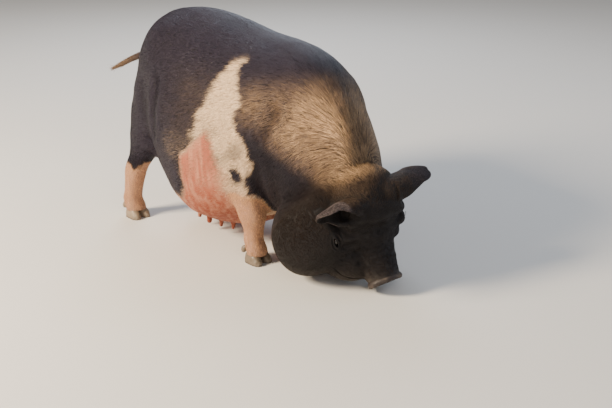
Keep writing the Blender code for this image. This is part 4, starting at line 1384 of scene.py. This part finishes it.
def growth(points, normals):
    """Tufts per area, their length and their width at each place, as shares of the flank's."""
    z = points[:, 2]
    ahead = ahead_of_head_plane(points)
    outside, hollow = ear_shares(points, normals)
    parts = (
        (ramp(np.degrees(np.arctan2(np.abs(points[:, 1]), z - 0.38)), 118, 140), 0.45, 0.65, 1.0),
        (markings(points)[1], 0.20, 0.50, 0.50),
        (leg_share(points), 2.6, 0.42, 0.62),
        (ramp(ahead, -0.04, 0.05), 2.1, 0.45, 0.55),
        (ramp(ahead, 0.06, 0.16), 1.2, 0.75, 0.80),
        (outside, 1.2, 0.75, 0.85),
        (hollow, 0.35, 0.75, 0.85),
        (tail_share(points), 3.5, 0.9, 0.75),
    )
    shares = np.ones((3, len(points)))
    for here, *factors in parts:
        for row, factor in zip(shares, factors):
            row *= 1 + (factor - 1) * here
    return shares


def from_crest(points):
    """How far to the left of the crest each place lies, as the neck sways to the right."""
    return points[:, 1] + 0.19 * np.maximum(points[:, 0] - 0.30, 0)


def bristled(points):
    """1 along the nape, withers and back, where the hair is longest, 0 on the flanks."""
    x, z = points[:, 0], points[:, 2]
    return (1 - ramp(np.abs(from_crest(points)), 0.04, 0.15)) * ramp(z, 0.30, 0.40) * ramp(x, -0.34, -0.20)


def sown(skin, coat, rng):
    """Roots of all tufts and the skin's normals there, drawn by area and density, in the maker's frame."""
    triangles = triangles_of(skin)
    points, normals = points_of(skin) - np.array(SHIFT), normals_of(skin)
    corners = points[triangles]
    middles = corners.mean(axis=1)
    areas = np.linalg.norm(np.cross(corners[:, 1] - corners[:, 0], corners[:, 2] - corners[:, 0]), axis=1) / 2
    number = growth(middles, unit(normals[triangles].sum(axis=1)))[0]
    number *= bare_places(middles)
    expected = areas * number * coat.per_area
    chosen = rng.choice(len(expected), int(expected.sum()), p=expected / expected.sum())
    shares = rng.random((len(chosen), 2))
    flip = shares.sum(axis=1) > 1
    shares[flip] = 1 - shares[flip]
    shares = np.column_stack([1 - shares.sum(axis=1), shares])[:, :, None]
    roots = (corners[chosen] * shares).sum(axis=1)
    facing = unit((normals[triangles[chosen]] * shares).sum(axis=1))
    return roots, facing


def bare_places(points):
    """0 where no hair grows: the eyes, the disc, the soles and the teats. 1 elsewhere."""
    grows = np.ones(len(points))
    for _, word in SIDES:
        place, radius = eye_frame(word)
        local = within(points, place) / radius
        slit = np.hypot(local[:, 0] / EYE_SLIT[0], local[:, 1] / EYE_SLIT[1])
        grows *= np.maximum(ramp(slit, 1.35, 1.9), np.linalg.norm(local, axis=1) > 3)
    local = within(points, HEAD)
    grows *= 1 - ramp(local[:, 0], HEAD_LENGTH - 0.022, HEAD_LENGTH - 0.012) * (np.abs(local[:, 1]) < 0.08)
    grows *= ramp(points[:, 2], 0.030, 0.036)
    teat = (np.abs(np.abs(points[:, 1]) - 0.082) < 0.016) & (points[:, 2] < 0.042) & (points[:, 0] < 0.12)
    return grows * (1 - teat * (points[:, 0] > -0.22))


def laid_tufts(roots, normals, tree, coat, rng):
    """For each root a solid tuft of five points, pointed at both ends, laid along the skin."""
    count = len(roots)
    _, length_share, width_share = growth(roots, normals)
    crest = bristled(roots)
    length = (coat.hair_length + (coat.bristle_length - coat.hair_length) * crest) * length_share
    length *= rng.uniform(0.75, 1.2, count)
    width = coat.tuft_width * width_share * rng.uniform(0.75, 1.3, count)
    flow = lie_of(roots, normals)
    flow = unit(flow + np.cross(normals, flow) * rng.normal(0, 0.10, count)[:, None])
    lift = (0.0006 + 0.0008 * length_share + 0.0020 * crest) * rng.uniform(0.6, 1.3, count)
    middle, facing = laid(tree, roots + flow * length[:, None] * 0.40)
    tip, tip_facing = laid(tree, roots + flow * length[:, None])
    brush = tail_share(roots)[:, None]
    tip += (roots + flow * length[:, None] - tip) * brush
    middle += facing * (0.0003 + 0.35 * lift)[:, None]
    tip += tip_facing * lift[:, None]
    return spindles(roots - normals * 0.0006, middle, tip, facing, width)


def spindles(roots, middles, tips, facing, width):
    """The five points of each tuft: its root, the two sides and the ridge of its middle, and its tip."""
    aside = unit(np.cross(facing, tips - roots)) * (width / 2)[:, None]
    ridge = middles + facing * (0.20 * width)[:, None]
    return np.stack([roots, middles - aside, middles + aside, ridge, tips], axis=1)


def eye_lashes(rng):
    """Stiff dark lashes along both upper lids, as tufts and their tints."""
    made = []
    for side, word in SIDES:
        place, radius = eye_frame(word)
        up = upright(place)
        turns = np.linspace(0.12, 0.88, LASHES) * math.pi + rng.normal(0, 0.06, LASHES)
        reach = rng.uniform(0.28, 0.66, LASHES)[:, None]
        stand = np.array((EYE_SLIT[0] * 0.98, EYE_SLIT[1] * 1.25 * up))
        level = np.ones(LASHES)
        start = np.column_stack([np.cos(turns) * stand[0], np.sin(turns) * stand[1], 1.06 * level])
        lean = np.column_stack([np.cos(turns) * 0.45, 0.30 * up * level, 0.62 * level])
        middle = start + lean * reach * 0.5
        tip = start + lean * reach + np.array((0, 0.22 * up, 0)) * reach
        rows = np.array(place.to_3x3()).T * radius
        spots = [p @ rows + np.array(place.translation) for p in (start, middle, tip)]
        facing = np.tile(np.array(place.col[1][:3]) * up, (LASHES, 1))
        made.append(spindles(*spots, facing, 0.0007 * level))
    tufts = np.concatenate(made)
    tint = np.ones((len(tufts), 5, 4), np.float32)
    tint[:, :, :3] = (0.010, 0.008, 0.007)
    return tufts, tint


def laid(tree, places):
    """The nearest points of the skin to the places, and the normals there."""
    found = [tree.find_nearest(place) for place in places.tolist()]
    return np.array([f[0] for f in found]), np.array([f[1] for f in found])


# A tuft's points are its root, the two sides and the ridge of its middle, and its tip
TUFT_FACES = np.array(((0, 2, 1), (0, 3, 2), (0, 1, 3), (4, 1, 2), (4, 2, 3), (4, 3, 1)))
TUFT_PATCH = np.array(((0.5, 0.0), (0.0, 0.4), (1.0, 0.4), (0.5, 0.5), (0.5, 1.0))) * 0.003
TUFT_SHARES = (0.0, 0.40, 0.40, 0.45, 1.0)


def tuft_mesh(name, tufts):
    """One mesh of many tufts."""
    count, size = tufts.shape[:2]
    loops = (np.arange(count)[:, None] * size + TUFT_FACES.ravel()).ravel()
    mesh = bpy.data.meshes.new(name)
    mesh.vertices.add(count * size)
    mesh.vertices.foreach_set("co", tufts.astype(np.float32).ravel())
    mesh.loops.add(len(loops))
    mesh.loops.foreach_set("vertex_index", loops.astype(np.int32))
    mesh.polygons.add(len(loops) // 3)
    mesh.polygons.foreach_set("loop_start", np.arange(0, len(loops), 3, dtype=np.int32))
    mesh.update(calc_edges=True)
    made = bpy.data.objects.new(name, mesh)
    bpy.context.scene.collection.objects.link(made)
    return made


def tuft_colours(places, normals, colours, rng):
    """Each tuft's colours from root to tip: cream or dark by the markings, the dark bleached by the sun on
    the flank. Painted light goes in too: sunlit gold sheen on neck and shoulder, sunlight on the near ear's
    back, and shade on the face, round the eyes, in the shoulder folds and at the shoulder's front.
    """
    count = len(places)
    x, y, z = places.T
    pale, pink = markings(places)
    cream_share = ramp(pale, 0.08, 0.92) + 0.9 * pale * (1 - pale) * rng.normal(0, 1, count)
    cream_share = np.clip(cream_share, 0, 1)[:, None]
    names = ("black_hair", "face_hair_and_shade", "brown_tip", "gold_sheen_tip", "white_hair", "sunlit_ear_back")
    black, face, brown, gold, cream, sunlit_ear_back = (np.array(getattr(colours, name)) for name in names)
    head = ramp(ahead_of_head_plane(places), -0.07, 0.03)[:, None]
    low = np.interp(x, SUNNY_PLACES, SUNNY_LOW)
    flank = ramp(x, -0.16, 0.06) * ramp(0.62 - z, 0, 0.12) * ramp(z - low, -0.05, 0.02)
    # Painted sunlit sheen: gold tips over brown roots on neck and shoulder, above the sunny border, stand in
    # for warm light on the hair
    neck = ramp(z - low, -0.045, 0.085) * ramp(0.60 - z, 0, 0.13) * ramp(x, 0.17, 0.24)
    neck *= 0.42 + 0.58 * ramp(x, 0.28, 0.44)
    # Painted shade: the sheen is darkened along the fold behind each shoulder
    for side, _ in SIDES:
        away = distance_to_line(places, fold_line("behind_shoulder", side))
        neck *= 1 - 0.75 * np.exp(-((away / 0.022) ** 2))
    poll = (1 - ramp(ahead_of_head_plane(places), 0.0, 0.07))[:, None]
    uneven = np.clip(1 + 0.28 * ripple(places, 15) + 0.15 * ripple(places, 47, 1.5), 0.3, 1.6)
    uneven *= rng.uniform(0.15, 1.35, count)
    outside = ear_shares(places, normals)[0][:, None]
    # The head's hair takes the darker face colour, partly its own tone and partly painted shade
    base = black + (face - black) * head * (1 - outside)
    # Painted shade: the hair darkens round each eye, in the hollow between the folds
    for _, word in SIDES:
        away = away_from(places, eye_frame(word)[0].translation)
        base = base * (1 - 0.5 * np.exp(-((away / 0.045) ** 2)))[:, None]
    # Painted shade: the hair below the sunny border at the shoulder's front is darkened
    base = base * (1 - 0.45 * ramp(x, 0.20, 0.28) * ramp(low - z, 0, 0.05))[:, None]
    tip = base + (brown - base) * np.clip((0.03 + 0.46 * flank) * uneven, 0, 1)[:, None]
    tip = tip + (gold - tip) * np.clip(neck * uneven, 0, 1.1)[:, None] * poll
    root = base + (brown - base) * (0.70 * neck)[:, None] * poll
    # Painted sunlight on the near ear's back; the far ear takes almost none of it
    tip = tip + (sunlit_ear_back - tip) * outside * np.where(y < 0, 1.0, 0.04)[:, None]
    tail_end = ramp(RUMP_X - 0.03 - x, 0, 0.09)[:, None]
    tip, root = tip + (gold - tip) * tail_end * 0.30, root + (brown - root) * tail_end * 0.7
    soiled = 0.18 * ramp(0.10 - z, 0, 0.08)
    soiled += 0.5 * ramp(z, 0.24, 0.30) * ramp(0.47 - z, 0, 0.10) * ramp(ripple(places, 30, 2.0), -0.2, 0.9)
    cream = cream * np.where(leg_share(places)[:, None] > 0.5, (1.15, 0.95, 0.74), 1.0)
    cream = cream + (np.array(colours.mud) - cream) * soiled[:, None]
    cream = cream + (1.4 * np.array(colours.pink_hide) - cream) * 0.7 * pink[:, None]
    shade = rng.uniform(0.75, 1.25, count)[:, None]
    tint = np.ones((count, 5, 4), np.float32)
    for vertex, share in enumerate(TUFT_SHARES):
        dark = (root + (tip - root) * share) * shade
        light = cream * (0.80 + 0.20 * share) * (0.5 + 0.5 * shade)
        tint[:, vertex, :3] = dark + (light - dark) * cream_share
    return tint


def lay_out(made, name, roots):
    """Gives each tuft a small patch on an unwrap of the skin, at its root's place."""
    origin, axis, start = unroll_axis(name)
    rel = roots - origin
    along = rel @ axis
    turn = np.arctan2(rel @ np.cross(axis, start), rel @ start)
    if name == "coat_legs":
        for k, (middle, _) in enumerate(foot_places().values()):
            away = roots[:, :2] - np.array(middle)[:2]
            here = np.hypot(*away.T) < 0.14
            turn[here] = np.arctan2(*away[here].T) + 7.0 * k
    place = np.column_stack([scaled(turn), scaled(along)]) * 0.99 + 0.003
    layer = made.data.uv_layers.new(name="OFBake")
    patches = place[:, None] + TUFT_PATCH[TUFT_FACES.ravel()]
    layer.data.foreach_set("uv", patches.astype(np.float32).ravel())


def scaled(values):
    low, high = values.min(), values.max()
    return (values - low) / max(high - low, 1e-6)


def unroll_axis(name):
    """The axis that a coat piece is unrolled round: a point on it, its direction and where turns start."""
    head = np.array(HEAD_TURN)
    if name in ("coat_jowls", "coat_brow", "coat_muzzle"):
        return np.array(SKULL_CENTRE), head[:, 0], -head[:, 2] if name == "coat_jowls" else head[:, 2]
    if name.startswith("coat_ear"):
        place = np.array(ear_place(1 if name.endswith("left") else -1))
        return place[:3, 3] - place[:3, 2] * 0.02, place[:3, 0], place[:3, 2]
    if name == "coat_tail":
        along = np.array((TAIL_TIP - TAIL_ROOT).normalized())
        return np.array(TAIL_ROOT), along, unit(np.cross(along, (0.0, 0.0, 1.0)))
    if name == "coat_legs":
        return np.zeros(3), np.array((0.0, 0.0, 1.0)), np.array((1.0, 0.0, 0.0))
    facing = (0.0, 0.0, -1.0 if name == "coat_belly" else 1.0)
    if name.endswith(("left", "right")):
        facing = (0.0, 1.0 if name.endswith("left") else -1.0, 0.0)
    return np.array((0.0, 0.0, 0.36)), np.array((1.0, 0.0, 0.0)), np.array(facing)


# The stage

def area_light(name, place, aim, size, power, colour):
    bpy.ops.object.light_add(type="AREA", location=place)
    light = bpy.context.active_object
    light.name = name
    light.data.size = size
    light.data.energy = power
    light.data.color = colour
    light.rotation_euler = (Vector(aim) - Vector(place)).to_track_quat("-Z", "Y").to_euler()


class SOW_OT_stage(bpy.types.Operator):
    """Lay the floor, hang the lights and set the camera at the view's angle"""

    bl_idname = "sow.stage"
    bl_label = "Stage"
    bl_options = {"REGISTER", "UNDO"}

    def execute(self, context):
        colours = context.scene.sow_colours
        bpy.ops.mesh.primitive_circle_add(vertices=96, radius=14, fill_type="NGON")
        floor = context.active_object
        floor.name = "floor"
        floor.data.materials.append(plain_finish("floor_paint", colours.floor, 0.9))
        world = bpy.data.worlds.new("studio")
        world.use_nodes = True
        context.scene.world = world
        world.node_tree.nodes["Background"].inputs["Color"].default_value = (0.80, 0.86, 0.95, 1.0)
        world.node_tree.nodes["Background"].inputs["Strength"].default_value = 0.30
        area_light("key", (-1.3, -3.3, 2.3), (0.1, 0, 0.32), 1.1, 470, (1.0, 0.83, 0.61))
        area_light("front", (3.0, -1.8, 2.2), (0.2, 0, 0.3), 2.0, 40, (1.0, 0.94, 0.86))
        area_light("fill", (2.4, 2.8, 1.8), (0.2, 0, 0.3), 2.5, 45, (0.78, 0.86, 1.0))
        area_light("back", (-2.4, 2.0, 2.6), (0, 0, 0.4), 2.0, 80, (0.80, 0.88, 1.0))
        bpy.ops.object.camera_add(
            location=CAMERA_PLACE + SHIFT, rotation=[math.radians(a) for a in CAMERA_TURN]
        )
        camera = context.active_object
        camera.data.lens = CAMERA_LENS
        camera.data.sensor_width = 36
        context.scene.camera = camera
        return {"FINISHED"}


class SOW_PT_panel(bpy.types.Panel):
    """Lists the sizes, the colours and the steps that build the sow"""

    bl_label = "Sow"
    bl_idname = "SOW_PT_panel"
    bl_space_type = "VIEW_3D"
    bl_region_type = "UI"
    bl_category = "Sow"

    def draw(self, context):
        for group in (context.scene.sow_sizes, context.scene.sow_coat, context.scene.sow_colours):
            box = self.layout.box()
            for name in group.__annotations__:
                box.prop(group, name)
        for operator in STEPS:
            self.layout.operator(operator.bl_idname)


GROUPS = {"sow_sizes": SowSizes, "sow_coat": SowCoat, "sow_colours": SowColours}
STEPS = (SOW_OT_skin, SOW_OT_eyes, SOW_OT_snout, SOW_OT_hooves, SOW_OT_coat, SOW_OT_stage)


def register():
    for made in (*GROUPS.values(), *STEPS, SOW_PT_panel):
        bpy.utils.register_class(made)
    for name, group in GROUPS.items():
        setattr(bpy.types.Scene, name, PointerProperty(type=group))


def unregister():
    for name in GROUPS:
        delattr(bpy.types.Scene, name)
    for made in reversed((*GROUPS.values(), *STEPS, SOW_PT_panel)):
        bpy.utils.unregister_class(made)


def main():
    register()
    bpy.ops.sow.skin()
    bpy.ops.sow.eyes()
    bpy.ops.sow.snout()
    bpy.ops.sow.hooves()
    bpy.ops.sow.coat()
    bpy.ops.sow.stage()


if __name__ == "__main__":
    main()
